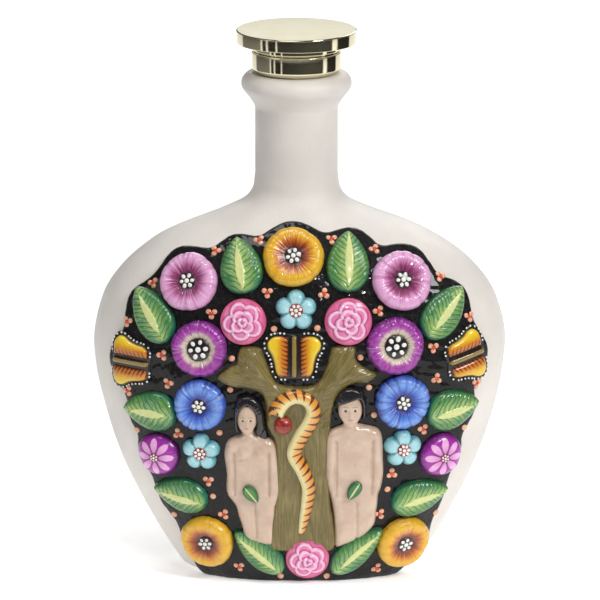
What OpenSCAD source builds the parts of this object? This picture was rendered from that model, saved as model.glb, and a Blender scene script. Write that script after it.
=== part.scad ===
// Tree of life clay decanter: a flattened slip-cast bottle, a black slip ground luted to its front,
// hand-modelled flowers, leaves, butterflies and figures on that ground, and a metal-topped cork.
// Millimetres. The origin is the centre of the foot, +Z is up and the decorated side faces -Y.

/* [Bottle] */
// Width of the belly
body_w = 190; // [184:1:196]
// Depth of the belly, without the relief
body_d = 90; // [86:1:96]
// Outer diameter of the neck
neck_d = 38; // [36:0.5:40]
// Height of the lip's top
lip_top = 232.4; // [228:0.2:236]
// How much flatter than an ellipse the front and back are
front_flatness = 0.35; // [0.2:0.05:0.5]
// Thickness of the clay wall
wall = 5.5; // [5:0.5:6]
// Diameter of the bore through the neck
bore_d = 24; // [22:0.5:25]

/* [Stopper] */
// Diameter of the polished disc
disc_d = 55; // [50:1:58]
// Thickness of the disc at its rim
disc_h = 6; // [4:0.2:7]
// Diameter of the collar under the disc
collar_d = 41; // [38:1:44]
// Height of the collar
collar_h = 8.8; // [8:0.2:10]
// Length of cork below the collar
cork_len = 28; // [22:1:32]

/* [Relief] */
// Thickness of the black ground
ground_t = 2.4; // [2:0.2:3]
// Thickness of the tree on the ground
tree_t = 3; // [2:0.5:4]
// Height of a flower's petals above the ground
flower_h = 5; // [4:0.5:6]
// Height of a leaf above the ground
leaf_h = 3.8; // [3:0.2:5]
// Glue gap that keeps luted pieces apart
lute = 0.12; // [0.1:0.01:0.2]

/* [Hidden] */
$fn = 64;
neck_r = neck_d / 2;
bore_r = bore_d / 2;
fit_gap = 0.05;
neck_foot = 184;
berry_r = 1.4;
sprig_berry_r = 1.2;
ground_front = ground_t + lute;
tree_front = ground_front + tree_t + lute;

CLAY = [0.86, 0.84, 0.81];
BLACK = [0.06, 0.05, 0.05];
GOLD = [0.85, 0.78, 0.55];
CORK = [0.76, 0.6, 0.42];
OLIVE = [0.48, 0.42, 0.2];
YELLOW = [0.93, 0.68, 0.12];
PINK = [0.88, 0.6, 0.8];
VIOLET = [0.66, 0.2, 0.66];
BLUE = [0.25, 0.38, 0.8];
SKY = [0.55, 0.82, 0.86];
ROSE = [0.9, 0.45, 0.65];
GREEN = [0.25, 0.55, 0.3];
SKIN = [0.85, 0.72, 0.62];
APPLE = [0.72, 0.15, 0.12];
PEACH = [0.93, 0.65, 0.48];

// Bottle profile: [height, half width, half depth]. The shares run from 0 at the neck's radius to 1 at
// the belly's full half size.
PROFILE = [
    [0, 0.41, 0.46], [3, 0.475, 0.55], [30, 0.692, 0.77], [65, 0.893, 0.935], [104, 1, 1],
    [127, 0.942, 0.925], [142, 0.808, 0.8], [152.5, 0.637, 0.63], [160, 0.45, 0.445], [166.6, 0.225, 0.265],
    [171.6, 0.08, 0.14], [177, 0.017, 0.04], [neck_foot, 0, 0]
];
LAST = len(PROFILE) - 1;

// Flowers: [name, kind, x, z, radius], the place being the flower's middle on the bottle's front
FLOWERS = [
    ["sunflower_top", "sun", -2.8, 152, 13.8], ["sunflower_left", "sun", -41, 20, 12.6],
    ["sunflower_right", "sun", 46, 19, 12.8],
    ["pink_flower_left", "pink", -49.3, 140.5, 13.4], ["pink_flower_right", "pink", 45.5, 141.3, 13.7],
    ["anemone_left", "anemone", -44.8, 112, 12.9], ["anemone_right", "anemone", 42.8, 113.3, 13.2],
    ["blue_flower_left", "blue", -44.6, 86, 12], ["blue_flower_right", "blue", 46, 87.5, 12.6],
    ["star_flower_top", "star", -1.6, 129.9, 9.7], ["star_flower_left", "star", -44, 63.8, 9.2],
    ["star_flower_right", "star", 46, 65.4, 9.3],
    ["rose_left", "rose", -25.2, 124.7, 10.5], ["rose_right", "rose", 21.8, 124.8, 10.8],
    ["rose_bottom", "rose", 3.5, 13.4, 10],
    ["daisy_left", "daisy", -63, 61, 10.2], ["daisy_right", "daisy", 63, 60.7, 10.5]
];
// Leaves: [name, x, z, length, width, direction of the tip in degrees]
LEAVES = [
    ["leaf_top_left", -26.3, 148.3, 26.5, 19, 102], ["leaf_top_right", 21.6, 150, 28.5, 19, 87],
    ["leaf_upper_left", -66, 125.7, 29, 17.5, 126], ["leaf_upper_right", 64.6, 127, 29, 17.5, 47],
    ["leaf_middle_left", -66.8, 81.5, 26, 18.2, 176], ["leaf_middle_right", 68.5, 82.2, 26, 18.5, 12],
    ["leaf_lower_left", -53, 42.2, 26, 16.5, 168], ["leaf_lower_right", 53.5, 41, 28, 17, 14],
    ["leaf_bottom_left", -18.2, 16.2, 29, 14.5, 137], ["leaf_bottom_right", 25.6, 16.4, 30.5, 14, 44]
];
// Butterflies: [name, x, z, size, direction of the head in degrees]
BUTTERFLIES = [
    ["butterfly_top", -2.4, 109, 1, 90], ["butterfly_left", -75.5, 103.5, 0.95, 177],
    ["butterfly_right", 74.5, 106, 0.95, 14]
];
// Berry sprigs of three dots: [x, z, turn in degrees]
SPRIGS = [
    [-65.5, 138.5, 60], [-37.5, 153.5, 10], [-18, 158.5, 60], [-77, 121, 20], [-39.5, 127.8, 30],
    [-61.5, 108, 60], [-59, 95, 10], [-14.5, 137.5, 30], [14.3, 159, 30], [33.5, 154.4, 60], [62.8, 141.4, 0],
    [35.5, 129, 60], [11, 137, 80], [76, 123.4, 40], [60, 111.5, 30], [61.5, 97, 80],
    [-54.5, 71.5, 100], [55.5, 73.5, 50], [-41, 49.5, 30], [41.5, 53, 90], [-34, 33.5, 60], [36, 33.5, 60],
    [-27, 7.5, 40], [34.4, 6.2, 70], [79.5, 92.5, 30], [-77, 89.5, 60]
];
// Single berries: [x, z]
BERRIES = [
    [-11.5, 121.5], [-30.4, 108], [-31.2, 93.5], [8, 122], [27.4, 108.4], [31.2, 94.5], [-36, 73],
    [-39, 42], [-8.5, 3.8], [33.5, 81.5], [39.5, 45.5], [12.2, 3.6], [-56, 31.2], [61, 31], [-73, 71],
    [74, 72]
];

function flower_names() = [for (f = FLOWERS) f[0]];
function leaf_names() = [for (l = LEAVES) l[0]];
function butterfly_names() = [for (b = BUTTERFLIES) b[0]];

// ---- The bottle's surface ----

function slope(i, k) =
    let (a = PROFILE[max(i - 1, 0)], b = PROFILE[min(i + 1, LAST)]) (b[k] - a[k]) / (b[0] - a[0]);
function span(z, i = 0) = i >= LAST - 1 || z < PROFILE[i + 1][0] ? i : span(z, i + 1);
function share(height, k) =
    let (z = min(max(height, 0), neck_foot), i = span(z), a = PROFILE[i], b = PROFILE[i + 1],
         h = b[0] - a[0], t = (z - a[0]) / h)
    (2 * t ^ 3 - 3 * t ^ 2 + 1) * a[k] + (3 * t ^ 2 - 2 * t ^ 3) * b[k]
    + (t ^ 3 - 2 * t ^ 2 + t) * h * slope(i, k) + (t ^ 3 - t ^ 2) * h * slope(i + 1, k);
function half_w(z) = neck_r + (body_w / 2 - neck_r) * share(z, 1);
function half_d(z) = neck_r + (body_d / 2 - neck_r) * share(z, 2);
function unit(v) = v / norm(v);

// Exponent of the section's superellipse: round at the neck, flatter in front over the belly
function power(z) = 2 + front_flatness * share(z, 1);
function signed_pow(v, e) = sign(v) * pow(abs(v), e);

// Outward normal of the bottle where the ring at height z is cut at angle a, 0 being the front
function face_normal(a, z) =
    let (w = half_w(z), d = half_d(z), dw = half_w(z + 0.5) - half_w(z - 0.5),
         dd = half_d(z + 0.5) - half_d(z - 0.5), s = sin(a), c = cos(a), e = 2 - 2 / power(z))
    unit([signed_pow(s, e) / w, -signed_pow(c, e) / d, -s * s * dw / w - c * c * dd / d]);
// The point t above the bottle's surface at ring angle a and height z
function ring_point(a, z, t = 0) =
    let (e = 2 / power(z))
    [half_w(z) * signed_pow(sin(a), e), -half_d(z) * signed_pow(cos(a), e), z] + t * face_normal(a, z);
function ring_angle(x, z) = sign(x) * asin(pow(min(abs(x) / half_w(z), 1), power(z) / 2));
function face_point(x, z, t = 0) = ring_point(ring_angle(x, z), z, t);

// Cosine by which the front's turn narrows a piece at (x, z), seen from the front
function narrowing(x, z) = let (n = face_normal(ring_angle(x, z), z)) norm([n.y, n.z]);

// Two triangles that fill four corners, listed clockwise as seen from outside
function quad(a, b, c, d) = [[a, b, c], [a, c, d]];

// Puts its children on the front at (x, z), t above the bottle: +Z leaves the face and +Y runs up it
module on_face(x, z, t = 0) {
    n = face_normal(ring_angle(x, z), z);
    ex = unit(cross([0, 0, 1], n));
    ey = cross(n, ex);
    p = face_point(x, z, t);
    multmatrix([[ex.x, ey.x, n.x, p.x], [ex.y, ey.y, n.y, p.y], [ex.z, ey.z, n.z, p.z]]) children();
}

// A slab that follows the front from low to high above the bottle, over a patch around (x, z)
module face_slab(x, z, half_x, half_z, low, high, cells = 6) {
    // Columns keep one share of the half width, so that the patch never leaves the bottle's side
    middle = x / half_w(z);
    reach = half_x * narrowing(x, z) / half_w(z);
    row = cells + 1;
    layer = row * row;
    points = [for (t = [low, high], j = [0:cells], i = [0:cells])
        let (h = z + half_z * (2 * j / cells - 1))
        face_point(half_w(h) * (middle + reach * (2 * i / cells - 1)), h, t)];
    function at(i, j, k) = k * layer + j * row + i;
    skins = [for (j = [0:cells - 1], i = [0:cells - 1]) each concat(
        quad(at(i, j, 0), at(i + 1, j, 0), at(i + 1, j + 1, 0), at(i, j + 1, 0)),
        quad(at(i, j, 1), at(i, j + 1, 1), at(i + 1, j + 1, 1), at(i + 1, j, 1))
    )];
    edges = [for (i = [0:cells - 1]) each concat(
        quad(at(i, 0, 0), at(i, 0, 1), at(i + 1, 0, 1), at(i + 1, 0, 0)),
        quad(at(i, cells, 0), at(i + 1, cells, 0), at(i + 1, cells, 1), at(i, cells, 1)),
        quad(at(0, i, 0), at(0, i + 1, 0), at(0, i + 1, 1), at(0, i, 1)),
        quad(at(cells, i, 0), at(cells, i, 1), at(cells, i + 1, 1), at(cells, i + 1, 0))
    )];
    polyhedron(points, concat(skins, edges));
}

// Trims its children to a back that follows the ground, so that they seat on it without a gap
module seated(x, z, radius, front = ground_front, cells = 6) {
    reach = radius * 1.15; // A patch a little wider than the piece
    depth = 12; // Deeper than any piece's uncut back
    difference() {
        on_face(x, z, front) children();
        face_slab(x, z, reach, reach, front - depth, front + lute, cells);
    }
}

// ---- Bottle ----

// A closed loft through the rings at these heights, raised by t off the bottle's surface
module body_loft(heights, sides, t = 0) {
    rings = len(heights);
    points = [for (z = heights, i = [0:sides - 1]) ring_point(360 * i / sides, z, t)];
    ends = [[0, 0, points[0].z], [0, 0, points[(rings - 1) * sides].z]];
    low = rings * sides;
    function at(j, i) = j * sides + i % sides;
    walls = [for (j = [0:rings - 2], i = [0:sides - 1])
        each quad(at(j, i), at(j + 1, i), at(j + 1, i + 1), at(j, i + 1))];
    caps = [for (i = [0:sides - 1]) each [
        [low, at(0, i), at(0, i + 1)], [low + 1, at(rings - 1, i + 1), at(rings - 1, i)]
    ]];
    polyhedron(concat(points, ends), concat(walls, caps));
}

neck_wall_r = neck_r - 0.1; // Just inside the facets of the shoulder that it rises from
LIP = [ // [distance out from the neck, distance below the lip's top], from the neck over the bead
    [0, 17], [0.3, 14.5], [2.6, 10.6], [5.6, 6.8], [6.3, 4.4], [5.7, 2.2], [3.6, 0.4], [1.6, 0]
];
module neck_and_lip() {
    inside = bore_r - 2;
    root_z = neck_foot - 4;
    bead = [for (p = LIP) [neck_wall_r + p[0], lip_top - p[1]]];
    rotate_extrude() polygon(concat([[inside, root_z], [neck_wall_r, root_z]], bead, [[inside, lip_top]]));
}
module bottle() {
    belly = [for (z = [16:10:136]) z];
    shoulder = [142, 148, 153, 157, 161, 165, 168, 171, 174, 178];
    color(CLAY) difference() {
        union() {
            body_loft(concat([0, 1.5, 3, 8], belly, shoulder, [neck_foot]), 64);
            neck_and_lip();
        }
        body_loft(concat([3.5, 8], belly, shoulder), 40, -wall);
        translate([0, 0, 160]) cylinder(r = bore_r, h = lip_top - 159);
        translate([0, 0, lip_top - 1]) cylinder(r1 = bore_r, r2 = bore_r + 1.1, h = 1.1);
    }
}

// ---- Stopper ----

seat_z = lip_top + 0.1; // Where the collar rests on the lip
waist_h = 2.8; // Stepped ring between the collar and the disc
spigot_r = 5; // Spigot under the disc, in the collar's socket
spigot_h = 2.7;
pocket_h = 5; // Depth of the collar's pocket for the cork

module stopper_disc() {
    top = seat_z + collar_h;
    under = top + waist_h;
    over = under + disc_h;
    r = disc_d / 2;
    waist_r = collar_d / 2;
    color(GOLD) rotate_extrude() polygon([
        [0, top - spigot_h], [spigot_r, top - spigot_h], [spigot_r, top + 0.2], [waist_r - 0.8, top + 0.2],
        [waist_r - 0.8, top + 0.7], [waist_r, top + 0.9], [waist_r, under - 0.3], [waist_r + 0.3, under],
        [r - 0.5, under], [r, under + 0.5], [r, over - 0.5], [r - 0.4, over],
        [r * 0.6, over + 0.5], [0, over + 0.8]
    ]);
}
module stopper_collar() {
    top = seat_z + collar_h;
    r = collar_d / 2;
    socket_r = spigot_r + fit_gap;
    socket_z = top - spigot_h - 0.5;
    pocket_r = bore_r + fit_gap;
    color(GOLD) rotate_extrude() polygon([
        [pocket_r, seat_z], [r - 1.6, seat_z], [r - 0.5, seat_z + 0.5], [r, seat_z + 1.6], [r, top - 0.4],
        [r - 0.4, top + 0.1], [socket_r, top + 0.1], [socket_r, socket_z], [4, socket_z],
        [4, seat_z + pocket_h], [pocket_r, seat_z + pocket_h]
    ]);
}
module stopper_cork() {
    r = bore_r - fit_gap;
    color(CORK) translate([0, 0, seat_z - cork_len]) {
        cylinder(r1 = r - 1.5, r2 = r, h = 2);
        translate([0, 0, 2]) cylinder(r = r, h = cork_len + pocket_h - 2.1);
    }
}

// ---- Ground ----

HEART_Z = 92; // Height of the point on the front that the ground's outline is drawn round
GROUND_FLOOR = 2.6; // Lowest that the ground reaches down the front
ground_rim = 1.8; // Ground left showing round the outer pieces
GROUND_BLOBS = concat( // Circles that the ground's scalloped outline bulges round, [x, z, radius]
    [for (f = FLOWERS) [f[2], f[3], f[4]]],
    [for (l = LEAVES) [l[1], l[2], l[3] * 0.44]],
    [for (b = BUTTERFLIES) [b[1], b[2], 11.5]],
    [[0, 20, 16]]
);
// How far the ray at angle a from the heart runs before it leaves an ellipse, or 0 if it misses
function ray_exit(a, cx, cz, rx, rz) =
    let (ux = cos(a) / rx, uz = sin(a) / rz, px = -cx / rx, pz = -cz / rz, q = ux * ux + uz * uz,
         b = (ux * px + uz * pz) / q, root = b * b - (px * px + pz * pz - 1) / q)
    root < 0 ? 0 : -b + sqrt(root);
function scallop(a) = max([for (b = GROUND_BLOBS)
    let (r = b[2] + ground_rim) ray_exit(a, b[0], b[1] - HEART_Z, r * narrowing(b[0], b[1]), r)]);
function ground_reach(a) =
    let (soft = (scallop(a - 4) + 2 * scallop(a) + scallop(a + 4)) / 4)
    sin(a) < 0 ? min(soft, (HEART_Z - GROUND_FLOOR) / -sin(a)) : soft;

module relief_ground() {
    sides = 120;
    back_gap = 0.25;
    reaches = [for (i = [0:sides - 1]) ground_reach(360 * i / sides)];
    function on_ground(i, share, t) =
        let (a = 360 * i / sides, r = share * reaches[i]) face_point(r * cos(a), HEART_Z + r * sin(a), t);
    // [share of the reach, share of the thickness] from the heart to the rounded rim
    flat = [for (share = [0.15, 0.35, 0.52, 0.66, 0.76, 0.84, 0.91, 0.96]) [share, 1]];
    rings = concat(flat, [[0.985, 0.95], [1, 0.55]]);
    top = [for (r = rings, i = [0:sides - 1]) on_ground(i, r[0], lute + ground_t * r[1])];
    back = [for (r = rings, i = [0:sides - 1]) on_ground(i, r[0], back_gap)];
    hearts = [face_point(0, HEART_Z, lute + ground_t), face_point(0, HEART_Z, back_gap)];
    count = len(top);
    last = len(rings) - 1;
    function at(j, i) = j * sides + i % sides;
    skins = [for (j = [0:len(rings) - 2], i = [0:sides - 1]) each concat(
        quad(at(j, i), at(j, i + 1), at(j + 1, i + 1), at(j + 1, i)),
        quad(count + at(j, i), count + at(j + 1, i), count + at(j + 1, i + 1), count + at(j, i + 1))
    )];
    middles = [for (i = [0:sides - 1]) each [
        [2 * count, at(0, i + 1), at(0, i)], [2 * count + 1, count + at(0, i), count + at(0, i + 1)]
    ]];
    rim = [for (i = [0:sides - 1])
        each quad(at(last, i), at(last, i + 1), count + at(last, i + 1), count + at(last, i))];
    color(BLACK) polyhedron(concat(top, back, hearts), concat(skins, middles, rim));
}

// ---- Tree, snake and apple ----

TREE = [ // Outline of the trunk and its four boughs, [x, z]
    [-11.5, 26], [-11.8, 31], [-8.6, 40], [-8.6, 68], [-9.4, 73], [-13.6, 77], [-14.6, 84], [-16.6, 92],
    [-24, 94.8], [-32, 95.8], [-36.3, 99.3], [-32, 103.8], [-28.2, 106], [-27.6, 110], [-25.8, 112.3],
    [-18.5, 112.6], [-16.3, 110.5], [-14.2, 105], [-11.8, 99.5], [-9, 96.6], [-1, 95.6], [6, 96.2],
    [9.5, 99.5], [12, 105], [13.6, 110.5], [15.5, 112.9], [24.5, 112.6], [25, 108.5], [28, 104.6],
    [33.8, 101.2], [30.8, 97.6], [23.4, 97.2], [15.6, 94], [12.7, 89.6], [11.6, 82.7], [11, 66.3],
    [10.9, 42.6], [13.5, 31], [13.4, 24.8], [3.5, 24.6], [-6, 24.2]
];
module tree() {
    color(OLIVE) intersection() {
        face_slab(0, 64, 46, 56, ground_front + lute, tree_front - lute, 14);
        rotate([90, 0, 0]) linear_extrude(height = 80) polygon(TREE);
    }
}

SNAKE = [ // [x, z, radius] from the tail's tip to the nose, along the snake's middle
    [0.8, 26.5, 1.3], [1.8, 32, 2.1], [3.3, 40.7, 2.7], [3.9, 48.8, 3.1], [1.2, 57, 3.3], [-2.4, 64.5, 3.4],
    [0.2, 72, 3.4], [4.4, 78.8, 3.4], [6.2, 84.6, 3.3], [3.8, 89.6, 3.2], [-1.6, 91.4, 3.2],
    [-6.6, 89.6, 3.4], [-9.6, 86.4, 3.3], [-10.4, 84.2, 2]
];
function curve(list, t) =
    let (i = min(floor(t), len(list) - 2), f = t - i, a = list[max(i - 1, 0)], b = list[i], c = list[i + 1],
         d = list[min(i + 2, len(list) - 1)])
    0.5 * (2 * b + f * (c - a) + f ^ 2 * (2 * a - 5 * b + 4 * c - d) + f ^ 3 * (3 * b - a - 3 * c + d));
module snake() {
    steps = 3;
    sides = 8;
    last = (len(SNAKE) - 1) * steps;
    flattening = 0.9;
    points = [for (k = [0:last])
        let (p = curve(SNAKE, k / steps), ahead = curve(SNAKE, min(k + 1, last) / steps),
             behind = curve(SNAKE, max(k - 1, 0) / steps),
             run = unit([ahead.x - behind.x, ahead.y - behind.y]))
        for (i = [0:sides]) let (a = 180 * i / sides, s = p[2] * cos(a))
            face_point(p.x - run.y * s, p.y + run.x * s, tree_front + flattening * p[2] * sin(a))];
    row = sides + 1;
    function at(k, i) = k * row + i;
    walls = [for (k = [0:last - 1], i = [0:sides - 1])
        each quad(at(k, i), at(k + 1, i), at(k + 1, i + 1), at(k, i + 1))];
    belly = [for (k = [0:last - 1]) each quad(at(k, 0), at(k, sides), at(k + 1, sides), at(k + 1, 0))];
    tail = [for (i = [1:sides - 1]) [0, i, i + 1]];
    nose = [for (i = [1:sides - 1]) [at(last, 0), at(last, i + 1), at(last, i)]];
    color(YELLOW) polyhedron(points, concat(walls, belly, tail, nose));
}
module apple() {
    color(APPLE) seated(-7.3, 77.6, 5, tree_front, 3) translate([0, 0, 0.8]) sphere(r = 3.8);
}

// ---- Figures ----

// A limb between two [x, y, radius] stations on the face, raised off the ground by lift
module limb(a, b, lift = 0) {
    hull() {
        translate([a[0], a[1], lift]) sphere(r = a[2], $fn = 14);
        translate([b[0], b[1], lift]) sphere(r = b[2], $fn = 14);
    }
}
// A standing figure about the middle of its height: [shoulder y, shoulder half width, chest radius,
// hip half width, head y, left foot y, right foot y, head x]
module figure(f, swell = 0) {
    shoulder = f[0];
    limb([f[7], f[4] - 1, 5.4 + swell], [f[7], f[4] + 1.5, 5.6 + swell], 1.6);
    limb([f[7], f[4] - 5, 2.8 + swell], [f[7] / 2, shoulder - 2, 3.4 + swell], 1.2);
    limb([-f[1], shoulder - 1.6, 3 + swell], [f[1], shoulder - 1.6, 3 + swell]);
    for (s = [-1, 1]) {
        limb([s * 4.4, shoulder - 6, f[2] + swell], [s * f[3] * 0.5, -8, f[3] * 0.53 + swell]);
        limb([s * f[3] * 0.5, -8, f[3] * 0.52 + swell], [s * 3.9, s < 0 ? f[5] : f[6], 2.9 + swell]);
        limb([s * f[1], shoulder - 1.6, 2.8 + swell], [s * (f[1] + 1.2), -16.5, 1.8 + swell]);
    }
}
WOMAN = [-21.5, 58.8];
MAN = [24.2, 58.7];
WOMAN_FORM = [12.4, 8.8, 4.8, 9.4, 21.5, -28.8, -28.6, -1.7];
MAN_FORM = [18.4, 9.2, 5, 8.6, 26.2, -33.8, -26.2, -2];

module woman() { color(SKIN) seated(WOMAN.x, WOMAN.y, 35, ground_front, 10) figure(WOMAN_FORM); }
module man() { color(SKIN) seated(MAN.x, MAN.y, 38, ground_front, 10) figure(MAN_FORM); }

// Hair wraps the head and hangs beside it, clear of the skin by the lute's gap
module woman_hair() {
    color(BLACK) seated(WOMAN.x, WOMAN.y, 35, ground_front, 10) difference() {
        translate([WOMAN_FORM[7], WOMAN_FORM[4], 0]) {
            limb([0, 2.4, 6.4], [0, 5.2, 6.4], 1);
            limb([5, 2, 3], [5.4, -7, 1.6]);
            limb([-5.2, 2, 3], [-6, -5.4, 1.6]);
        }
        figure(WOMAN_FORM, lute);
        translate([WOMAN_FORM[7], WOMAN_FORM[4] - 0.6, 7.2]) sphere(r = 4.4, $fn = 14);
    }
}
module man_hair() {
    color(BLACK) seated(MAN.x, MAN.y, 38, ground_front, 10) difference() {
        translate([MAN_FORM[7], MAN_FORM[4], 0]) {
            limb([0.3, 2.8, 6], [1, 5.2, 6.2], 1.2);
            limb([5, 3, 2.4], [5.8, -2.4, 1.4]);
        }
        figure(MAN_FORM, lute);
        translate([MAN_FORM[7], MAN_FORM[4] - 0.8, 7.4]) sphere(r = 4.2, $fn = 14);
    }
}
module fig_leaf(at, form, up, turn) {
    color(GREEN) difference() {
        on_face(at.x, at.y, ground_front) translate([0, up, 3.2]) rotate([0, 0, turn])
            linear_extrude(height = 2.8) leaf_shape(8, 5);
        on_face(at.x, at.y, ground_front) figure(form, lute);
    }
}
module woman_fig_leaf() { fig_leaf(WOMAN, WOMAN_FORM, -13.4, -52); }
module man_fig_leaf() { fig_leaf(MAN, MAN_FORM, -11.6, -122); }

// ---- Flowers, leaves, butterflies and berries ----

// Petals as a ring with a dished middle that takes the centre button
module petal_dish(r) {
    rotate_extrude() polygon([
        [0, -2.5], [r * 0.94, -2.5], [r, -0.5], [r, 1.6], [r * 0.96, 3], [r * 0.86, flower_h - 0.6],
        [r * 0.72, flower_h], [r * 0.55, flower_h - 0.4], [r * 0.4, flower_h - 1.3], [0, flower_h - 1.3]
    ]);
}
module star_petals(r) {
    intersection() {
        translate([0, 0, -2.5]) linear_extrude(height = flower_h + 2) {
            circle(r = r * 0.62);
            for (i = [0:4]) rotate(90 + 72 * i) translate([r * 0.6, 0]) circle(r = r * 0.4);
        }
        translate([0, 0, flower_h - 1 - 3 * r]) sphere(r = 3 * r);
    }
}
module rose_petals(r) {
    rotate_extrude() polygon([
        [0, -2.5], [r * 0.94, -2.5], [r, 0], [r, 1.4], [r * 0.93, 3.2], [r * 0.8, 4], [r * 0.72, 3.7],
        [r * 0.6, 4.9], [r * 0.5, 4.5], [r * 0.38, 5.4], [r * 0.28, 5], [0, 5.8]
    ]);
}
module daisy_dome(r) {
    rotate_extrude() polygon([
        [0, -2.5], [r * 0.95, -2.5], [r, -0.5], [r, 1.2], [r * 0.93, 2.8], [r * 0.75, 4.2], [r * 0.5, 5],
        [r * 0.25, 5.3], [0, 5.3]
    ]);
}
module petals(kind, r) {
    if (kind == "star") star_petals(r);
    else if (kind == "rose") rose_petals(r);
    else if (kind == "daisy") daisy_dome(r);
    else petal_dish(r);
}
function flower_colour(kind) =
    kind == "sun" ? YELLOW : kind == "pink" ? PINK : kind == "blue" ? BLUE : kind == "star" ? SKY
    : kind == "rose" ? ROSE : VIOLET;
module flower(f) {
    color(flower_colour(f[1])) seated(f[2], f[3], f[4]) petals(f[1], f[4]);
}

// Centre buttons: the share of the flower's radius that each takes, and the height it sits at
function button_share(kind) = kind == "anemone" ? 0.38 : 0.27;
function button_seat(kind) = kind == "star" ? flower_h - 1.05 : kind == "daisy" ? 5.3 : flower_h - 1.3;
module flower_centres() {
    color(BLACK) for (f = FLOWERS) if (f[1] != "rose")
        on_face(f[2], f[3], ground_front + button_seat(f[1]) + 0.05)
            cylinder(r1 = f[4] * button_share(f[1]), r2 = f[4] * button_share(f[1]) * 0.8, h = 0.9);
}

// Leaf outline with its tip along +X, from a half width that swells quickly and tapers to the tip
module leaf_shape(length, width) {
    steps = 14;
    function half(u) = width / 2 * pow(sin(180 * pow(u, 0.72)), 0.8);
    rim = [for (k = [0:steps]) let (u = k / steps) [length * (u - 0.5), half(u)]];
    polygon(concat(rim, [for (k = [steps - 1:-1:1]) [rim[k].x, -rim[k].y]]));
}
module leaf(l) {
    color(GREEN) seated(l[1], l[2], l[3] * 0.52, ground_front, 7) rotate([0, 0, l[5]]) hull() {
        translate([0, 0, -3.5]) linear_extrude(height = leaf_h + 1.3) leaf_shape(l[3], l[4]);
        translate([0, 0, leaf_h - 0.5]) linear_extrude(height = 0.5) leaf_shape(l[3] * 0.72, l[4] * 0.6);
    }
}

WING = [ // Right wing of a butterfly that faces +X, [forwards, sideways]
    [10.5, 1.2], [11.2, 5], [10.8, 10.4], [8.4, 13.6], [5, 14], [0.5, 11.2], [-4, 9.6], [-8.6, 8.4],
    [-10.9, 6], [-10.6, 1.2]
];
module butterfly(b) {
    color(YELLOW) seated(b[1], b[2], 16, ground_front, 8) rotate([0, 0, b[4]]) scale(b[3]) {
        for (s = [-1, 1]) translate([0, 0, -3.5]) linear_extrude(height = 5.5)
            polygon([for (p = WING) [p.x, s * p.y]]);
        translate([-10, -1.2, -3.5]) cube([20, 2.4, 6.2]);
    }
}

module berry(r, x, z, side = 0, up = 0) {
    on_face(x, z, ground_front + lute) translate([side, up, 0]) cylinder(r1 = r, r2 = r * 0.6, h = 0.9);
}
module berries() {
    reach = sprig_berry_r * 1.3;
    color(PEACH) {
        for (s = SPRIGS, k = [0:2]) let (a = s[2] + 120 * k)
            berry(sprig_berry_r, s.x, s.y, reach * cos(a), reach * sin(a));
        for (b = BERRIES) berry(berry_r, b.x, b.y);
    }
}

bottle();
relief_ground();
tree();
snake();
apple();
woman();
woman_hair();
woman_fig_leaf();
man();
man_hair();
man_fig_leaf();
for (f = FLOWERS) flower(f);
for (l = LEAVES) leaf(l);
for (b = BUTTERFLIES) butterfly(b);
flower_centres();
berries();
stopper_disc();
stopper_collar();
stopper_cork();
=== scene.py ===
"""Tree of life decanter: painted clay relief, bisque bottle and gilt stopper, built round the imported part.

Shapes are worked out in millimetres on the bottle's front and written in metres.
"""

import math
from collections import namedtuple

import bmesh
import bpy
import numpy as np
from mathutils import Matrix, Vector


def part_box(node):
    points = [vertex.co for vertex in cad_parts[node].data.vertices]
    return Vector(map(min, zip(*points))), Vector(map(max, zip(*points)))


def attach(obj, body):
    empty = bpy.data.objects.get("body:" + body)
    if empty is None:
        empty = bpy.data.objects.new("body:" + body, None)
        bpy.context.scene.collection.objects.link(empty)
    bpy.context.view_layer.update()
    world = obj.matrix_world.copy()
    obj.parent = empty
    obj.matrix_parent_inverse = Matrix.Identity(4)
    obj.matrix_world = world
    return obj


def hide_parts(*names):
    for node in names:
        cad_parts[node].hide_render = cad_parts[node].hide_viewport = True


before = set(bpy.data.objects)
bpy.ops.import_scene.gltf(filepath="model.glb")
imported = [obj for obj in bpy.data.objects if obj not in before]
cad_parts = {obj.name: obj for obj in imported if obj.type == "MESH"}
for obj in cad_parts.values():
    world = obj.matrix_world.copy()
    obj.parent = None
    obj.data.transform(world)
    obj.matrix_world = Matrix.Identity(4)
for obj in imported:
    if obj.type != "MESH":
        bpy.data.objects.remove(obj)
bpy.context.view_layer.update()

MM = 0.001
TURN = 2 * math.pi

# ---- The bottle's surface, as the CAD source has it but for the values marked below ----

NECK_R = 19.0
# 0.6 under the CAD's 95: the lens was lengthened to fit the ornaments' heights, and this keeps the outline
BELLY_W = 94.4
BELLY_D = 45.0
FLATNESS = 0.35
NECK_FOOT = 184.0
GROUND_TOP = 2.52
# Height that the ground reaches down to at the foot. The CAD's stops higher, most of all in the corners
FOOT_MARGIN = 0.7
TREE_TOP = 5.5
HEART_Z = 92.0
# How far the neck stands off the bottle's middle, to the viewer's left. The CAD's is central
NECK_LEAN = 1.4
# How far the lip and the collar on it sit below the CAD's
LIP_DROP = 1.0
# Height, then the shares of the belly's half width and half depth
PROFILE = np.array([
    [0, 0.41, 0.46], [3, 0.475, 0.55], [30, 0.692, 0.77], [65, 0.893, 0.935], [104, 1, 1],
    [127, 0.942, 0.925], [142, 0.808, 0.8], [152.5, 0.637, 0.63], [160, 0.45, 0.445],
    [166.6, 0.225, 0.265], [171.6, 0.08, 0.14], [177, 0.017, 0.04], [NECK_FOOT, 0, 0],
])


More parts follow.
